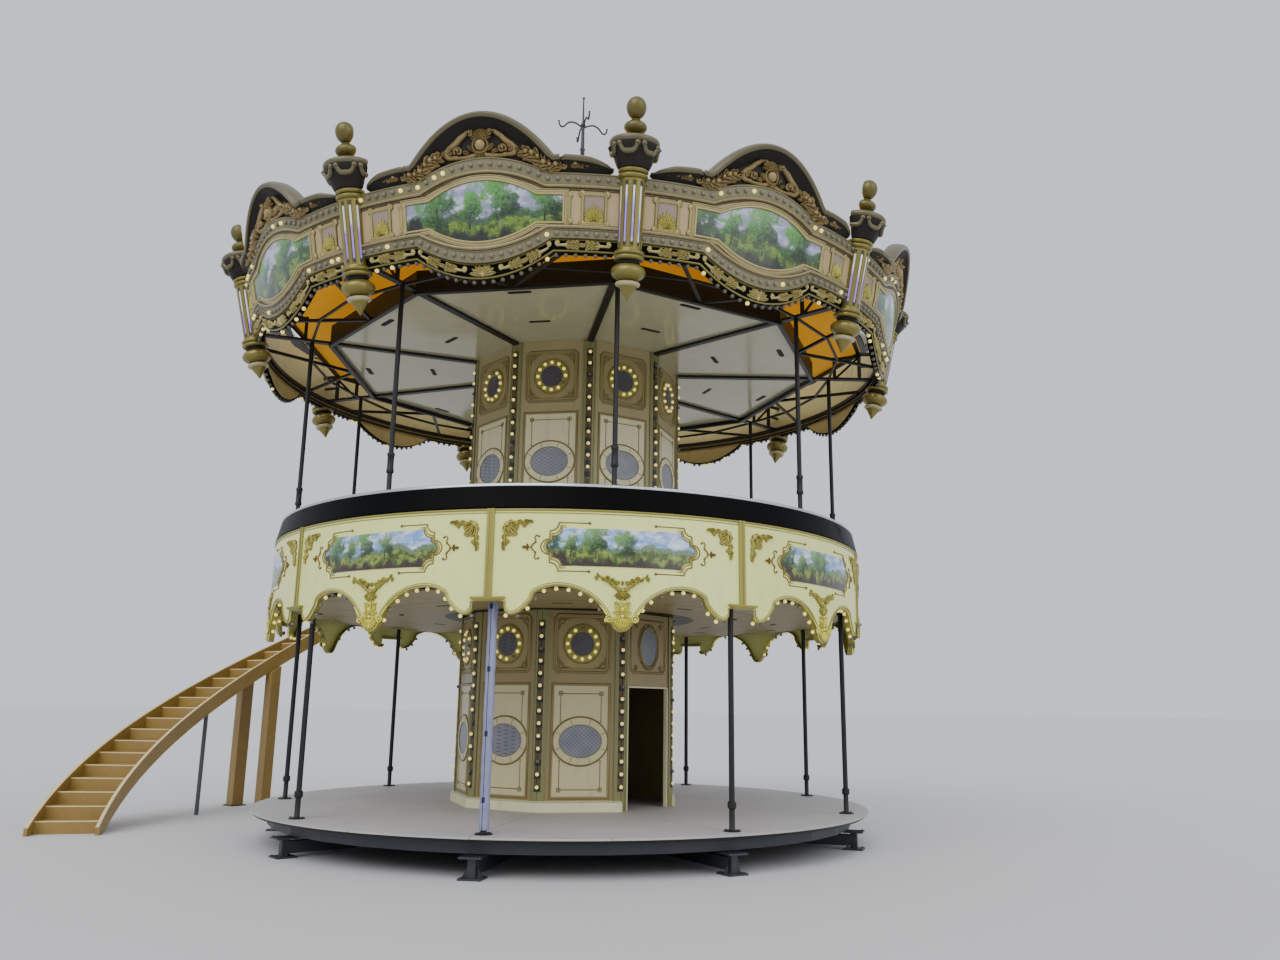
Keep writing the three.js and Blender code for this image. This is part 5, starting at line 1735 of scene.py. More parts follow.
FASCIA_EDGE = (
    (0.0, 2.658), (0.045, 2.668), (0.09, 2.702), (0.12, 2.748), (0.15, 2.806), (0.20, 2.890),
    (0.28, 2.983), (0.34, 3.032), (0.39, 3.068), (0.46, 3.102), (0.52, 3.127), (0.58, 3.144),
    (0.64, 3.156), (0.71, 3.162), (0.775, 3.162), (0.85, 3.150), (0.92, 3.130), (0.97, 3.106),
    (1.010, 3.080), (1.018, 3.062), (1.023, 3.030), (1.045, 2.992), (1.08, 2.950),
    (1.12, 2.908), (1.17, 2.866), (1.225, 2.840), (1.28, 2.833), (1.32, 2.852), (1.343, 2.890),
    (1.350, 2.985))


def fascia_edge(run):
    return float(np.interp(abs(run), [p[0] for p in FASCIA_EDGE], [p[1] for p in FASCIA_EDGE]))


def scallop_line(shift=0.0, stop=1.35):
    """The fascia's lower edge right of the bay's middle, shifted up along its normal."""
    points = [Vector(p) for p in FASCIA_EDGE if p[0] <= stop]
    moved = []
    for i, point in enumerate(points):
        way = points[min(i + 1, len(points) - 1)] - points[max(i - 1, 0)]
        way.normalize()
        moved.append(point + Vector((-way.y, way.x)) * shift)
    return [(max(0.0, p.x), p.y) for p in moved]


def fascia_picture_outline(grow=0.0):
    """The fascia picture's outline: straight edges and ends with a round tongue."""
    low, high = FASCIA_PICTURE[0] - grow, FASCIA_PICTURE[1] + grow
    middle = (low + high) / 2
    corner, tip = 0.705 + grow * 0.6, 0.885 + grow
    right = [(corner, high)]
    for i in range(1, 6):
        angle = math.pi / 2 * i / 5
        right.append((corner + 0.10 * (1 - math.cos(angle)), high - 0.095 * math.sin(angle)))
    step = middle + 0.070 + grow * 0.3
    for i in range(0, 6):
        angle = math.pi / 2 * i / 5
        right.append((tip - (tip - corner - 0.105) * (1 - math.sin(angle)),
                      middle + (step - middle) * math.cos(angle)))
    lower = [(x, 2 * middle - z) for x, z in reversed(right[:-1])]
    right = right + lower
    return right + [(-x, z) for x, z in reversed(right)]


class CAROUSEL_OT_fascia(CarouselStep, bpy.types.Operator):
    """Builds the lower fascia's scalloped boards, pilasters, pictures and gold lines"""

    bl_idname = "carousel.fascia"
    bl_label = "Fascia"

    def make(self):
        half = sorted({p[0] for p in FASCIA_EDGE} | {1.3505, 1.45, FASCIA_HALF_BAY})
        runs = [-run for run in reversed(half[1:])] + half
        board = Form().strip(runs, lambda run: upright(
            fascia_edge(run), FASCIA_TOP - 0.001, -FASCIA_BOARD, 0.0))
        fascia_ring(board, "fascia_boards", "cream_paint", "cream_fascia",
                    replaces=all_bays("fascia_bay"))

        trim = Form()
        edge = scallop_line(0.012)
        line = scallop_line(0.036, 1.345)
        trim.add_both(Form().bead(edge, 0.010, 0.012))
        trim.add_both(Form().bead(line, 0.005, 0.007))
        level = np.linspace(-FASCIA_HALF_BAY, FASCIA_HALF_BAY, 33)
        trim.bead([(float(x), FASCIA_TOP - 0.016) for x in level], 0.014, 0.016)
        trim.bead([(float(x), FASCIA_TOP - 0.052) for x in level], 0.006, 0.008)
        fascia_ring(trim, "fascia_gold_lines", "gold_paint")

        ledge = Form()
        for side in (-1, 1):
            inner, outer = scallop_line(0.0, 1.345), scallop_line(0.012, 1.345)
            ledge.loft([[(side * a[0], a[1], -0.016), (side * a[0], a[1], -0.085),
                         (side * b[0], b[1], -0.085), (side * b[0], b[1], -0.016)]
                        for a, b in zip(inner, outer)])
        fascia_ring(ledge, "fascia_ledges", "gold_paint")

        pilaster = Form()
        for side in (-1, 1):
            pilaster.strip([side * 0.015, side * 0.017, side * 0.041, side * 0.045],
                           lambda run: upright(CAPITAL_TOP, PILASTER_TOP, -0.01, 0.019))
        pilaster.strip([-0.016, 0.016],
                       lambda run: upright(CAPITAL_TOP, PILASTER_TOP, -0.01, 0.012))
        for low, high, wide, out in ((2.984, 2.992, 0.150, 0.024), (2.992, 3.004, 0.172, 0.034),
                                     (3.004, 3.016, 0.196, 0.046), (3.016, 3.032, 0.204, 0.052)):
            pilaster.strip([-wide, wide], lambda run: upright(low, high, -0.08, out))
        fascia_ring(pilaster, "fascia_pilasters", "gold_paint", first=LOWER_START)

        depth = sizes().picture_depth
        middle = sum(FASCIA_PICTURE) / 2
        outline = fascia_picture_outline()
        columns = sorted({x for x, _ in outline} | set(np.linspace(-0.70, 0.70, 21).tolist()))
        tops = sorted((x, z) for x, z in outline if z >= middle - 0.0005)
        xs, zs = [p[0] for p in tops], [p[1] for p in tops]

        def picture_section(run):
            high = max(float(np.interp(run, xs, zs)), middle + 0.001)
            return upright(2 * middle - high, high, 0.0, depth)

        plate = Form().strip(columns, picture_section)
        fascia_ring(plate, "fascia_pictures", "fascia_picture", "picture_print",
                    panel=(-0.9, FASCIA_PICTURE[0], 0.44))
        frames = Form().bead(fascia_picture_outline(0.026), 0.008, 0.012, closed=True)
        fascia_ring(frames, "fascia_picture_frames", "gold_paint")
        edges = Form().bead(outline, 0.008, 0.013, closed=True)
        fascia_ring(edges, "fascia_picture_edges", "dark_line")
        outer = fascia_picture_outline(0.062)
        count = len(outer) // 2
        right = [(0.39, outer[0][1]), *outer[:count], (0.39, outer[count - 1][1])]
        half_line = Form().bead(right, 0.008, 0.010)
        for z in (outer[0][1], outer[count - 1][1]):
            half_line.dome(0.39, z, 0.018, 0.016, sides=10)
        fascia_ring(Form().add_both(half_line), "fascia_outlines", "dark_line")


class CAROUSEL_OT_fascia_carving(CarouselStep, bpy.types.Operator):
    """Carves the fascia's corner leaves, garlands, drops and side sprigs"""

    bl_idname = "carousel.fascia_carving"
    bl_label = "Fascia Carving"

    def corner(self):
        """A leaf bracket in the upper corner beside a pilaster."""
        form = Form()
        x, z = 1.375, 3.895
        reach = 0.88
        form.dome(x - 0.030, z - 0.030, 0.034, 0.040, sides=10)
        for flip in (False, True):
            arm = Form()
            arm.bead([(0.0, 0.0), (0.07, 0.026), (0.14, 0.008), (0.21, 0.022), (0.28, 0.038)],
                     0.019, 0.026, taper=lambda t: 1.1 - 0.5 * t)
            for a, b, angle, length in (
                    (0.02, 0.01, 1.1, 0.070), (0.05, 0.015, -0.6, 0.090),
                    (0.09, 0.02, -1.1, 0.095), (0.13, 0.012, 0.9, 0.085),
                    (0.17, 0.014, -0.8, 0.095), (0.22, 0.024, 0.8, 0.075),
                    (0.22, 0.020, -1.0, 0.080), (0.28, 0.038, 0.15, 0.085),
                    (0.27, 0.034, -0.9, 0.070)):
                arm.petal(a, b, angle, length * 0.92, length * 0.29, 0.028,
                          bend=-0.9 if angle > 0 else 0.9)
            arm.scroll(0.115, -0.052, 0.042, 0.014, 0.026, start=1.9, spin=-1)
            arm.scroll(0.225, -0.030, 0.028, 0.011, 0.022, start=1.6, spin=-1)
            if flip:
                form.add(arm, lambda p: (x - 0.02 + p[1] * reach, z - 0.03 - p[0] * reach, p[2]))
            else:
                form.add(arm, lambda p: (x - 0.03 - p[0] * reach, z - 0.02 + p[1] * reach, p[2]))
        for turn, length in ((195, 0.110), (225, 0.150), (255, 0.110)):
            form.petal(x - 0.05, z - 0.05, math.radians(turn), length, length * 0.28, 0.034)
        form.scroll(x - 0.120, z - 0.130, 0.040, 0.014, 0.028, start=0.8, spin=-1)
        return form

    def garland(self):
        """A hanging V of leaf scrolls that grow towards the middle."""
        half = Form()
        half.bead([(0.33, 3.270), (0.27, 3.285), (0.22, 3.262), (0.16, 3.222), (0.09, 3.175),
                   (0.03, 3.135)], 0.012, 0.022, taper=lambda t: 0.6 + 0.8 * t)
        half.scroll(0.305, 3.255, 0.026, 0.008, 0.018, start=1.5, spin=1)
        for x, z, angle, length, bend in (
                (0.27, 3.280, 0.3, 0.050, 1.2), (0.25, 3.270, -1.9, 0.060, -0.8),
                (0.20, 3.245, 1.5, 0.060, 1.3), (0.20, 3.240, -2.2, 0.070, -0.9),
                (0.14, 3.205, 1.4, 0.075, 1.4), (0.15, 3.200, -2.3, 0.085, -0.9),
                (0.08, 3.165, 1.5, 0.085, 1.2), (0.09, 3.160, -2.3, 0.100, -0.9),
                (0.04, 3.140, -1.9, 0.110, -0.5)):
            half.petal(x, z, angle, length, length * 0.30, 0.032, bend=bend)
        half.scroll(0.165, 3.262, 0.026, 0.009, 0.022, start=-0.6, spin=1)
        half.scroll(0.075, 3.205, 0.034, 0.011, 0.028, start=-0.5, spin=1)
        form = Form().add_both(half)
        for i in range(7):
            form.petal(0.0, 3.125, math.radians(215 + 18.3 * i), 0.120, 0.020, 0.034)
        form.dome(0.0, 3.130, 0.026, 0.044, sides=12)
        form.petal(0.0, 3.180, math.pi / 2, 0.060, 0.016, 0.030)
        return form

    def pendant(self):
        """The gilded drop: rosette, ears and a scalloped shell down to the tip."""
        half = Form()
        for x, z, angle, length, bend in (
                (0.03, 2.965, 0.9, 0.075, -1.0), (0.035, 2.895, 0.35, 0.085, 1.0),
                (0.03, 2.870, -0.3, 0.085, 0.8), (0.02, 2.850, -0.9, 0.090, 0.6)):
            half.petal(x, z, angle, length, length * 0.26, 0.030, bend=bend)
        half.bead(ellipse(0.150, 2.803, 0.036, 0.036, 16), 0.011, 0.026, closed=True)
        half.dome(0.150, 2.803, 0.018, 0.030, sides=10)
        half.bead([(0.175, 2.850), (0.215, 2.905), (0.262, 2.958)], 0.016, 0.020,
                  taper=lambda t: 1.1 - 0.7 * t)
        form = Form().add_both(half)
        for i in range(9):
            share = (i - 4) / 4
            form.petal(0.020 * share, 2.800, -math.pi / 2 + share * 1.22,
                       0.128 - 0.022 * abs(share), 0.022, 0.034)
        for i in range(6):
            form.petal(0.0, 2.912, i * math.tau / 6 + 0.26, 0.062, 0.020, 0.034)
        form.dome(0.0, 2.912, 0.024, 0.042, sides=12)
        for z, radius in ((2.992, 0.020), (3.022, 0.014), (2.832, 0.022)):
            form.dome(0.0, z, radius, radius * 1.4, sides=10)
        return form

    def sprig(self):
        """A bracket with two curled arms and a leaf beyond the picture's tongue."""
        form = Form()
        x, z = 1.055, 3.600
        form.bead([(x - 0.01, z), (x + 0.045, z)], 0.008, 0.012)
        for angle, length in ((0.0, 0.075), (1.25, 0.045), (-1.25, 0.045)):
            form.petal(x + 0.035, z, angle, length, length * 0.30, 0.020)
        for side in (-1, 1):
            form.bead([(x, z), (x - 0.012, z + side * 0.028), (x - 0.044, z + side * 0.052),
                       (x - 0.050, z + side * 0.080), (x - 0.036, z + side * 0.110),
                       (x - 0.056, z + side * 0.138), (x - 0.084, z + side * 0.132)],
                      0.009, 0.014, taper=lambda t: 1.1 - 0.4 * t)
            form.dome(x - 0.086, z + side * 0.124, 0.014, 0.016, sides=8)
            form.dome(x - 0.046, z + side * 0.060, 0.015, 0.016, sides=8)
        return form

    def make(self):
        form = Form().add(self.garland()).add_both(self.corner())
        fascia_ring(form, "fascia_carving", "carved_gold", sharp=CARVING_ANGLE)
        fascia_ring(self.pendant(), "fascia_pendants", "bright_gold", sharp=CARVING_ANGLE)
        fascia_ring(Form().add_both(self.sprig()), "fascia_sprigs", "dark_line",
                    sharp=CARVING_ANGLE)


BULBS_IN_RING = 11
CORNER_CUT = 0.05


def ellipse_ring(z, wide, out):
    return [(x, up, out) for x, up in ellipse(0, z, wide, wide, 40)]


class CAROUSEL_OT_core(CarouselStep, bpy.types.Operator):
    """Panels the core's walls: mouldings, mirrors, corner strips, skirting and the doorway"""

    bl_idname = "carousel.core"
    bl_label = "Core"

    def panels(self, round_z, square, tall, inner, oval_z, oval):
        """The mouldings of one wall, by heights."""
        lines = Form()
        half = 0.385
        low, high = square
        octagon = cut_outline(half, low, high, CORNER_CUT)
        lines.bead(octagon, 0.019, 0.018, closed=True)
        middle = (low + high) / 2
        lines.bead([(x * 0.88, (z - middle) * 0.88 + middle) for x, z in octagon],
                   0.006, 0.008, closed=True)
        lines.bead(ellipse(0, round_z, 0.262, 0.272, 40), 0.010, 0.014, closed=True)
        for sx in (-1, 1):
            for sz in (-1, 1):
                x, z = sx * (half - 0.088), middle + sz * ((high - low) / 2 - 0.088)
                lines.dome(x, z, 0.030, 0.014, sides=12)
                lines.bead(ellipse(x, z, 0.046, 0.046, 16), 0.008, 0.012, closed=True)
                for turn in (-1, 1):
                    heading = math.atan2(-sz, -sx) + turn * 1.35
                    lines.petal(x, z, heading, 0.130, 0.018, 0.014, bend=-turn * 0.5)
        foot, head = tall
        lines.bead(box_outline(0, (foot + head) / 2, 0.393, (head - foot) / 2), 0.020, 0.018,
                   closed=True)
        lines.bead(ellipse(0, oval_z, oval[0] + 0.008, oval[1] + 0.008, 56), 0.011, 0.018,
                   closed=True)
        inset = 0.280
        gap = oval[1] * math.sqrt(1 - (inset / (oval[0] + 0.03)) ** 2) + 0.03
        for sz, end in ((1, inner[1]), (-1, inner[0])):
            start = oval_z + sz * gap
            for sx in (-1, 1):
                x = sx * inset
                lines.bead([(x, start), (x, end + sz * 0.034)], 0.007, 0.009)
                lines.bead([(x - sx * 0.05, end), (x + sx * 0.034, end)], 0.007, 0.009)
                lines.bead(box_outline(x + sx * 0.002, end + sz * 0.002, 0.024, 0.024), 0.006,
                           0.010, closed=True)
                lines.dome(x, start, 0.013, 0.012, sides=8)
            lines.bead([(-inset + 0.03, end), (inset - 0.03, end)], 0.007, 0.009)
        return lines

    def corner_strips(self, radius, low, high, shift=0.0):
        """Two flat boards that meet on a corner of the core, with a slot for the bulbs."""
        face = radius * math.cos(BAY_ANGLE / 2)
        form, slot = Form(), Form()
        half_side = radius * math.sin(BAY_ANGLE / 2)
        for side in (-1, 1):
            turn = Matrix.Rotation(-side * BAY_ANGLE / 2, 4, "Z")

            def laid(point):
                return tuple(turn @ Vector((side * half_side - side * point[0],
                                            -face - point[2], point[1])))
            board = Form().slab([(0.0, low), (0.100, low), (0.100, high), (0.0, high)], 0, 0.010)
            lip = Form().slab([(0.082, low), (0.100, low), (0.100, high), (0.082, high)], 0, 0.018)
            form.add(board, laid)
            form.add(lip, laid)
            recess = Form().slab([(0.0, low + 0.26), (0.046, low + 0.26), (0.046, high - 0.14),
                                  (0.0, high - 0.14)], 0.0, 0.0125)
            slot.add(recess, laid)
        return form, slot

    def make(self):
        # The lower walls take the core's cream darkened as painted shade.
        repaint("lower_core_paint", "core_lower_wall", "core_door_wall")
        repaint("core_paint", "core_upper_wall")

        storeys = (
            ("lower", CORE_RADIUS, PLATFORM_TOP, LOWER_CEILING, 2.687, (2.300, 3.089),
             (0.630, 2.132), (0.736, 2.008), 1.372, (0.376, 0.318), (0.290, 0.216), 0.0),
            ("upper", UPPER_CORE_RADIUS, DECK_TOP, BEAM_TOP, 6.594, (6.212, 6.985),
             (4.530, 6.036), (4.636, 5.931), 5.300, (0.368, 0.302), (0.274, 0.2135),
             LOWER_START))
        for (name, radius, low, high, round_z, square, tall, inner, oval_z, oval, pane,
             first) in storeys:
            wall = on_core(radius)
            door = name == "lower"
            start = first + 2 * BAY_ANGLE if door else first
            count = BAYS - 1 if door else BAYS

            def core_ring(form, piece, material, slot="core_cream", **more):
                build_ring(form, f"core_{name}_{piece}", material, slot, wall, first=start,
                           count=count, **more)

            lines = self.panels(round_z, square, tall, inner, oval_z, oval)
            core_ring(lines, "mouldings", "line_paint", sharp=CARVING_ANGLE)
            square_half = (square[1] - square[0]) / 2 - 0.02
            grounds = Form().slab(
                box_outline(0, sum(square) / 2, 0.365, square_half), 0.0, 0.003)
            core_ring(grounds, "squares", "core_ground")
            tall_half = (tall[1] - tall[0]) / 2 - 0.018
            fields = Form().slab(box_outline(0, sum(tall) / 2, 0.375, tall_half), 0.0, 0.002)
            core_ring(fields, "fields", f"panel_{name}")
            bosses = Form().loft([ellipse_ring(round_z, wide, out) for wide, out in (
                (0.256, 0.003), (0.250, 0.014), (0.170, 0.020), (0.160, 0.013))])
            core_ring(bosses, "rosettes", "gold_paint", "gold_trim")
            ticks = Form()
            for i in range(BULBS_IN_RING):
                angle = (i + 0.5) * math.tau / BULBS_IN_RING
                x, z = math.cos(angle), math.sin(angle)
                ticks.bead([(0.172 * x, round_z + 0.172 * z), (0.248 * x, round_z + 0.248 * z)],
                           0.005, 0.008, low=0.016)
            core_ring(ticks, "ring_ribs", "gold_paint", "gold_trim")
            panes = Form().slab(ellipse(0, oval_z, *pane, 56), 0.0, 0.010)
            core_ring(panes, "mirrors", "mirror_film", "mirror_film")
            discs = Form().slab(ellipse(0, round_z, 0.162, 0.162, 40), 0.0, 0.018)
            core_ring(discs, "round_mirrors", "round_mirror", "mirror_film")
            rows = []
            for share, out in ((1.0, 0.0), (0.94, 0.014), (0.5, 0.020), (0.08, 0.015), (0.0, 0.0)):
                reach = [a + (b - a) * share for a, b in zip(pane, oval)]
                rows.append([(x, z, out) for x, z in ellipse(0, oval_z, *reach, 56)])
            rims = Form().loft(rows)
            core_ring(rims, "oval_rims", f"panel_{name}")
            marks = Form()
            marks.bead(ellipse(0, oval_z, pane[0] + 0.004, pane[1] + 0.004, 56), 0.006, 0.008,
                       low=0.010, closed=True)
            for i in range(8):
                angle = (i + 0.5) * math.tau / 8
                ends = []
                for share in (0.18, 0.84):
                    wide, high_half = (a + (b - a) * share for a, b in zip(pane, oval))
                    ends.append((math.cos(angle) * wide, oval_z + math.sin(angle) * high_half))
                marks.bead(ends, 0.006, 0.006, low=0.016)
            core_ring(marks, "oval_marks", "line_paint", "gold_trim")
            spots = ellipse(0, round_z, 0.210, 0.210, 48)
            build_bulbs([([wall((x, z, 0.026)) for x, z in spots], True)],
                        f"core_{name}_mirror_bulbs", 0.1195, sizes().core_bulb_radius,
                        lit=0.9, seed=5, first=start, count=count)
            boards, slots = self.corner_strips(radius, low + 0.001, high - 0.001)
            corner = first + LOWER_START
            build_ring(boards, f"core_{name}_corner_boards", "strip_paint", "gold_trim",
                       first=corner)
            build_ring(slots, f"core_{name}_bulb_slots", "checked_slot", "core_cream",
                       first=corner)
            ends = [on_bearing(0, radius + 0.016, z) for z in (low + 0.32, high - 0.20)]
            build_bulbs([(ends, False)], f"core_{name}_corner_bulbs",
                        sizes().core_bulb_spacing, sizes().core_bulb_radius, lit=0.72, seed=11,
                        first=corner)

        skirting = Form()
        for low, top, out in ((0.4505, 0.580, 0.050), (0.580, 0.593, 0.040)):
            half = CORE_RADIUS * math.sin(BAY_ANGLE / 2) + out * math.tan(BAY_ANGLE / 2)
            inner = CORE_RADIUS * math.sin(BAY_ANGLE / 2)
            skirting.loft([
                [(-inner, low, 0.0), (inner, low, 0.0), (inner, top, 0.0), (-inner, top, 0.0)],
                [(-half, low, out), (half, low, out), (half, top - 0.008, out),
                 (-half, top - 0.008, out)]])
        build_ring(skirting, "core_skirting", "skirting_cream", "core_cream", on_core(CORE_RADIUS),
                   first=2 * BAY_ANGLE, count=BAYS - 1)

        self.doorway()

    def doorway(self):
        """The doorway's white lining and the tall oval mirror above it."""
        wall = on_core(CORE_RADIUS)

        def at_door(point):
            return Matrix.Rotation(DOOR_BEARING, 4, "Z") @ wall(point)

        head = DOOR_TOP
        side_out, side_in = 0.453, 0.435
        lining = Form()
        for side in (-1, 1):
            lining.loft([[(side * side_in, z, -0.05), (side * side_out, z, -0.05),
                          (side * side_out, z, 0.012), (side * side_in, z, 0.012)]
                         for z in (0.452, head)])
        lining.loft([[(x, head - 0.018, -0.05), (x, head, -0.05), (x, head, 0.012),
                      (x, head - 0.018, 0.012)] for x in (-side_out, side_out)])
        build(lining, "door_lining", "skirting_cream", "core_cream", at_door)
        lines = Form()
        low, high = 2.316, 3.053
        eye = 2.681
        lines.bead(cut_outline(0.385, low, high, CORNER_CUT), 0.019, 0.018, closed=True)
        lines.bead(ellipse(0, eye, 0.19, 0.284, 44), 0.018, 0.024, closed=True)
        lines.bead(ellipse(0, eye, 0.235, 0.325, 44), 0.007, 0.012, closed=True)
        for sx in (-1, 1):
            for sz in (-1, 1):
                lines.scroll(sx * 0.285, eye + sz * 0.29, 0.045, 0.010, 0.016,
                             start=math.atan2(sz, sx), spin=sx * sz)
        for i in range(16):
            angle = i * math.tau / 16
            lines.petal(0.20 * math.cos(angle), eye + 0.29 * math.sin(angle), angle, 0.045,
                        0.018, 0.018)
        build(lines, "door_mirror_frame", "line_paint", "gold_trim", at_door, sharp=CARVING_ANGLE)
        glass = Form().slab(ellipse(0, eye, 0.185, 0.275, 44), 0.0, 0.010)
        build(glass, "door_mirror", "mirror_film", "mirror_film", at_door)


class CAROUSEL_OT_bulbs(CarouselStep, bpy.types.Operator):
    """Strings the crown's and the fascia's bulbs"""

    bl_idname = "carousel.bulbs"
    bl_label = "Bulbs"

    def make(self):
        size = sizes()
        runs = crown_runs(CROWN_HALF_BAY - 0.16)
        bands = []
        for foot, head in ((low_band_foot, low_band_head), (high_band_foot, high_band_head)):
            bands.append(([on_crown((run, (foot(run) + head(run)) / 2, 0.020))
                           for run in runs], False))
        build_bulbs(bands, "crown_band_bulbs", size.bulb_spacing, size.bulb_radius,
                    size.crown_lit_share, seed=3, first=LOWER_START, glass="bulb_cup")
        skirt = [on_crown((run, skirt_foot(run) - 0.018, -0.05)) for run in runs]
        build_bulbs([(skirt, False)], "crown_skirt_bulbs", size.bulb_spacing,
                    size.skirt_bulb_radius, size.crown_lit_share, seed=8, first=LOWER_START,
                    glass="skirt_glass")
        lines = []
        for side in (-1, 1):
            line = [on_fascia((side * x, z, -0.055))
                    for x, z in scallop_line(-0.028, 1.33) if x > 0.16]
            lines.append((line, False))
        build_bulbs(lines, "fascia_bulbs", size.fascia_bulb_spacing, size.fascia_bulb_radius,
                    lit=0.62, seed=21)


class CAROUSEL_OT_lower_posts(CarouselStep, bpy.types.Operator):
    """Turns the lower posts, one of them still in its film"""

    bl_idname = "carousel.lower_posts"
    bl_label = "Lower Posts"

    OUTLINE = ((0.0, 0.4505), (0.100, 0.4505), (0.100, 0.462), (0.094, 0.466), (0.040, 0.470),
               (0.034, 0.480), (0.034, 0.695), (0.043, 0.700), (0.052, 0.712), (0.052, 0.768),
               (0.043, 0.780), (0.034, 0.785))

    def make(self):
        posts = Form()
        shaft = [*self.OUTLINE, (0.034, 4.238), (0.0, 4.238)]
        posts.turned(shaft, 24, centre=(0.0, -LOWER_POST_RING))
        posts.bolts(four_spots(0.074, LOWER_POST_RING), 0.462, 0.012, 0.014, 0.016)
        build_ring(posts, "lower_posts", "black_steel", "black_steel",
                   first=LOWER_START + LOWER_TURN, replaces=all_bays("lower_post"))
        wrap = Form()
        rows = []
        for i in range(41):
            z = 0.50 + (3.10 - 0.50) * i / 40
            fold = 0.0025 * math.sin(i * 2.1) + 0.002 * math.sin(i * 0.7)
            rows.append((0.056 + fold, z))
        wrap.turned([(0.036, 0.498), *rows, (0.036, 3.104)], 24, centre=(0.0, -LOWER_POST_RING))

        def on_wrapped(point):
            return Matrix.Rotation(LOWER_TURN - LOWER_START, 4, "Z") @ Vector(point)

        build(wrap, "post_film_wrap", "post_film", "post_film", on_wrapped,
              extras={"side": lambda p: p[0] / 0.056, "height": lambda p: p[2]})


def stair_place(run, side, z):
    """A point of the stair by the run along its middle, the step to its side and the height."""
    angle = STAIR_START - run / STAIR_RADIUS
    radius = STAIR_RADIUS + side
    return Vector((STAIR_CENTRE.x + radius * math.cos(angle),
                   STAIR_CENTRE.y + radius * math.sin(angle), z))


class CAROUSEL_OT_stair(CarouselStep, bpy.types.Operator):
    """Paints the stair, and adds its nosings, caps and base plates"""

    bl_idname = "carousel.stair"
    bl_label = "Stair"

    def make(self):
        repaint("stair_paint", "stair_lower_flight", "stair_upper_flight", "stair_landing",
                "stair_leg_inner", "stair_leg_outer")
        repaint("prop_steel", "stair_prop")

        slope = STAIR_RISE / STAIR_GOING
        inside = STAIR_WIDTH / 2 - STRINGER
        nosings = Form()
        for i in range(STAIR_RISERS - 1):
            run = STAIR_FIRST_RISER + i * STAIR_GOING
            z = (i + 1) * STAIR_RISE
            sections = []
            for side in (-inside, 0.0, inside):
                sections.append([tuple(stair_place(run + along, side, z + up)) for along, up in (
                    (-0.004, -0.013), (-0.005, -0.001), (-0.002, 0.003), (0.014, 0.003),
                    (0.016, 0.0005), (-0.0005, -0.0005), (-0.0005, -0.013))])
            nosings.loft(sections)
        build(nosings, "stair_nosings", "nosing_paint", "stair_brown", body=FIXED)

        caps = Form()
        total = STAIR_FIRST_RISER + (STAIR_RISERS - 1) * STAIR_GOING
        half = STAIR_WIDTH / 2
        steps = 96
        for low, high in ((-half + 0.003, -half + 0.049), (half - 0.049, half - 0.003)):
            sections = []
            for i in range(steps + 1):
                run = total * i / steps
                top = STAIR_RISE + (run - STAIR_FIRST_RISER) * slope + 0.0705
                sections.append([tuple(stair_place(run, side, z)) for side, z in (
                    (low, top - 0.012), (low, top + 0.005), (high, top + 0.005),
                    (high, top - 0.012), (high - 0.003, top - 0.012), (high - 0.003, top),
                    (low + 0.003, top), (low + 0.003, top - 0.012))])
            caps.loft(sections)
        build(caps, "stair_stringer_caps", "nosing_paint", "stair_brown", body=FIXED)

        plates = Form()
        leg_side = STAIR_WIDTH / 2 - STRINGER / 2
        reach = 0.15
        for side in (-leg_side, leg_side):
            middle = stair_place(STAIR_LEG_RUN, side, 0.0)
            ahead = stair_place(STAIR_LEG_RUN + 0.01, side, 0.0) - middle
            ahead = ahead.normalized() * reach
            across = stair_place(STAIR_LEG_RUN, side + 0.01, 0.0) - middle
            across = across.normalized() * reach
            corners = [middle + ahead + across, middle + ahead - across, middle - ahead - across,
                       middle - ahead + across]
            plates.plate([corner.xy for corner in corners], 0.0, 0.012)
            plates.bolts([middle.lerp(corner, 0.82).xy for corner in corners], 0.012, 0.014,
                         0.012, 0.015)
        build(plates, "stair_base_plates", "frame_iron", "frame_iron", body=FIXED)


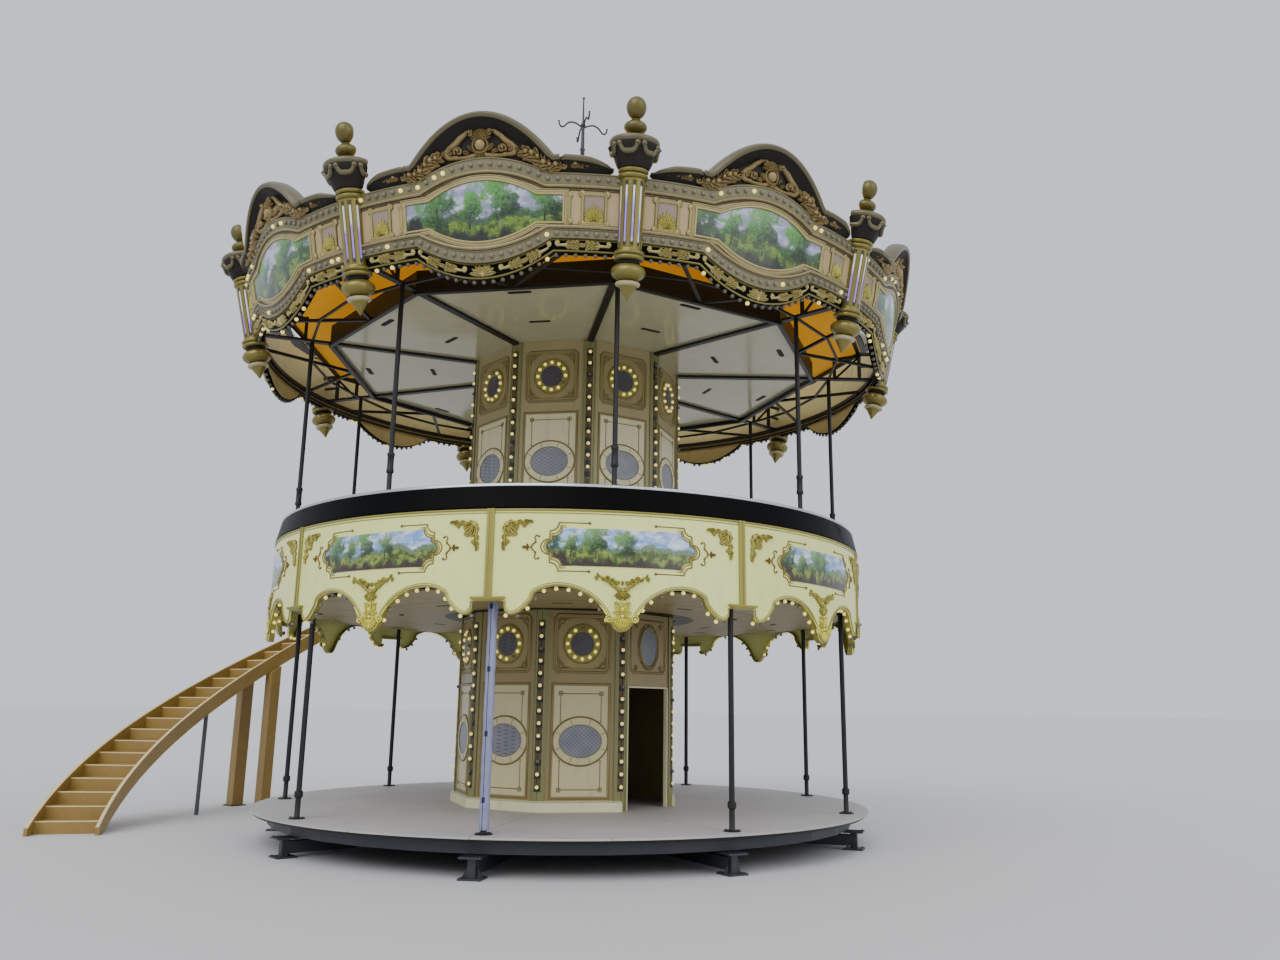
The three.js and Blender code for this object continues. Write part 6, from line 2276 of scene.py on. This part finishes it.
class CAROUSEL_OT_ground(CarouselStep, bpy.types.Operator):
    """Finishes the ground frame, the turning frame and the jack stands"""

    bl_idname = "carousel.ground"
    bl_label = "Ground Frame"

    def make(self):
        repaint("frame_iron", "ground_frame", "platform_frame")
        screws = Form().turned([(0.0, 0.060), (0.020, 0.060), (0.020, 0.02), (0.0, 0.02)], 12,
                               centre=(0.0, -JACK_RING))
        for x in (-0.1, 0.1):
            for y in (-0.1, 0.1):
                for low in (0.020, 0.240):
                    screws.bolts([(x, y - JACK_RING)], low, 0.013, 0.010, 0.012)
        for side in (-1, 1):
            gusset = ((0.045, 0.02), (0.118, 0.02), (0.045, 0.15))
            screws.loft([[(side * x, out - JACK_RING, z) for x, z in gusset]
                         for out in (0.0, 0.008)])
        build_ring(screws, "jack_stand_details", "frame_iron", "frame_iron", first=LOWER_START,
                   body=FIXED)


STEPS = (
    CAROUSEL_OT_stage, CAROUSEL_OT_crown_boards, CAROUSEL_OT_crown_carving,
    CAROUSEL_OT_crown_posts, CAROUSEL_OT_upper_frame, CAROUSEL_OT_ceilings, CAROUSEL_OT_roof,
    CAROUSEL_OT_decks, CAROUSEL_OT_fascia, CAROUSEL_OT_fascia_carving, CAROUSEL_OT_core,
    CAROUSEL_OT_bulbs, CAROUSEL_OT_lower_posts, CAROUSEL_OT_stair, CAROUSEL_OT_ground)


class CAROUSEL_PT_panel(bpy.types.Panel):
    """Lists the carousel's settings and build steps"""

    bl_idname = "CAROUSEL_PT_panel"
    bl_label = "Carousel"
    bl_space_type = "VIEW_3D"
    bl_region_type = "UI"
    bl_category = "Carousel"

    def draw(self, context):
        column = self.layout.column()
        for group in (context.scene.carousel_sizes, context.scene.carousel_colours):
            for key in group.__annotations__:
                column.prop(group, key)
        for step in STEPS:
            column.operator(step.bl_idname)


CLASSES = (CarouselSizes, CarouselColours, *STEPS, CAROUSEL_PT_panel)


def register():
    for item in CLASSES:
        bpy.utils.register_class(item)
    bpy.types.Scene.carousel_sizes = bpy.props.PointerProperty(type=CarouselSizes)
    bpy.types.Scene.carousel_colours = bpy.props.PointerProperty(type=CarouselColours)


def unregister():
    del bpy.types.Scene.carousel_colours
    del bpy.types.Scene.carousel_sizes
    for item in reversed(CLASSES):
        bpy.utils.unregister_class(item)


def main():
    register()
    for step in STEPS:
        getattr(bpy.ops.carousel, step.bl_idname.split(".")[1])()


if __name__ == "__main__":
    main()
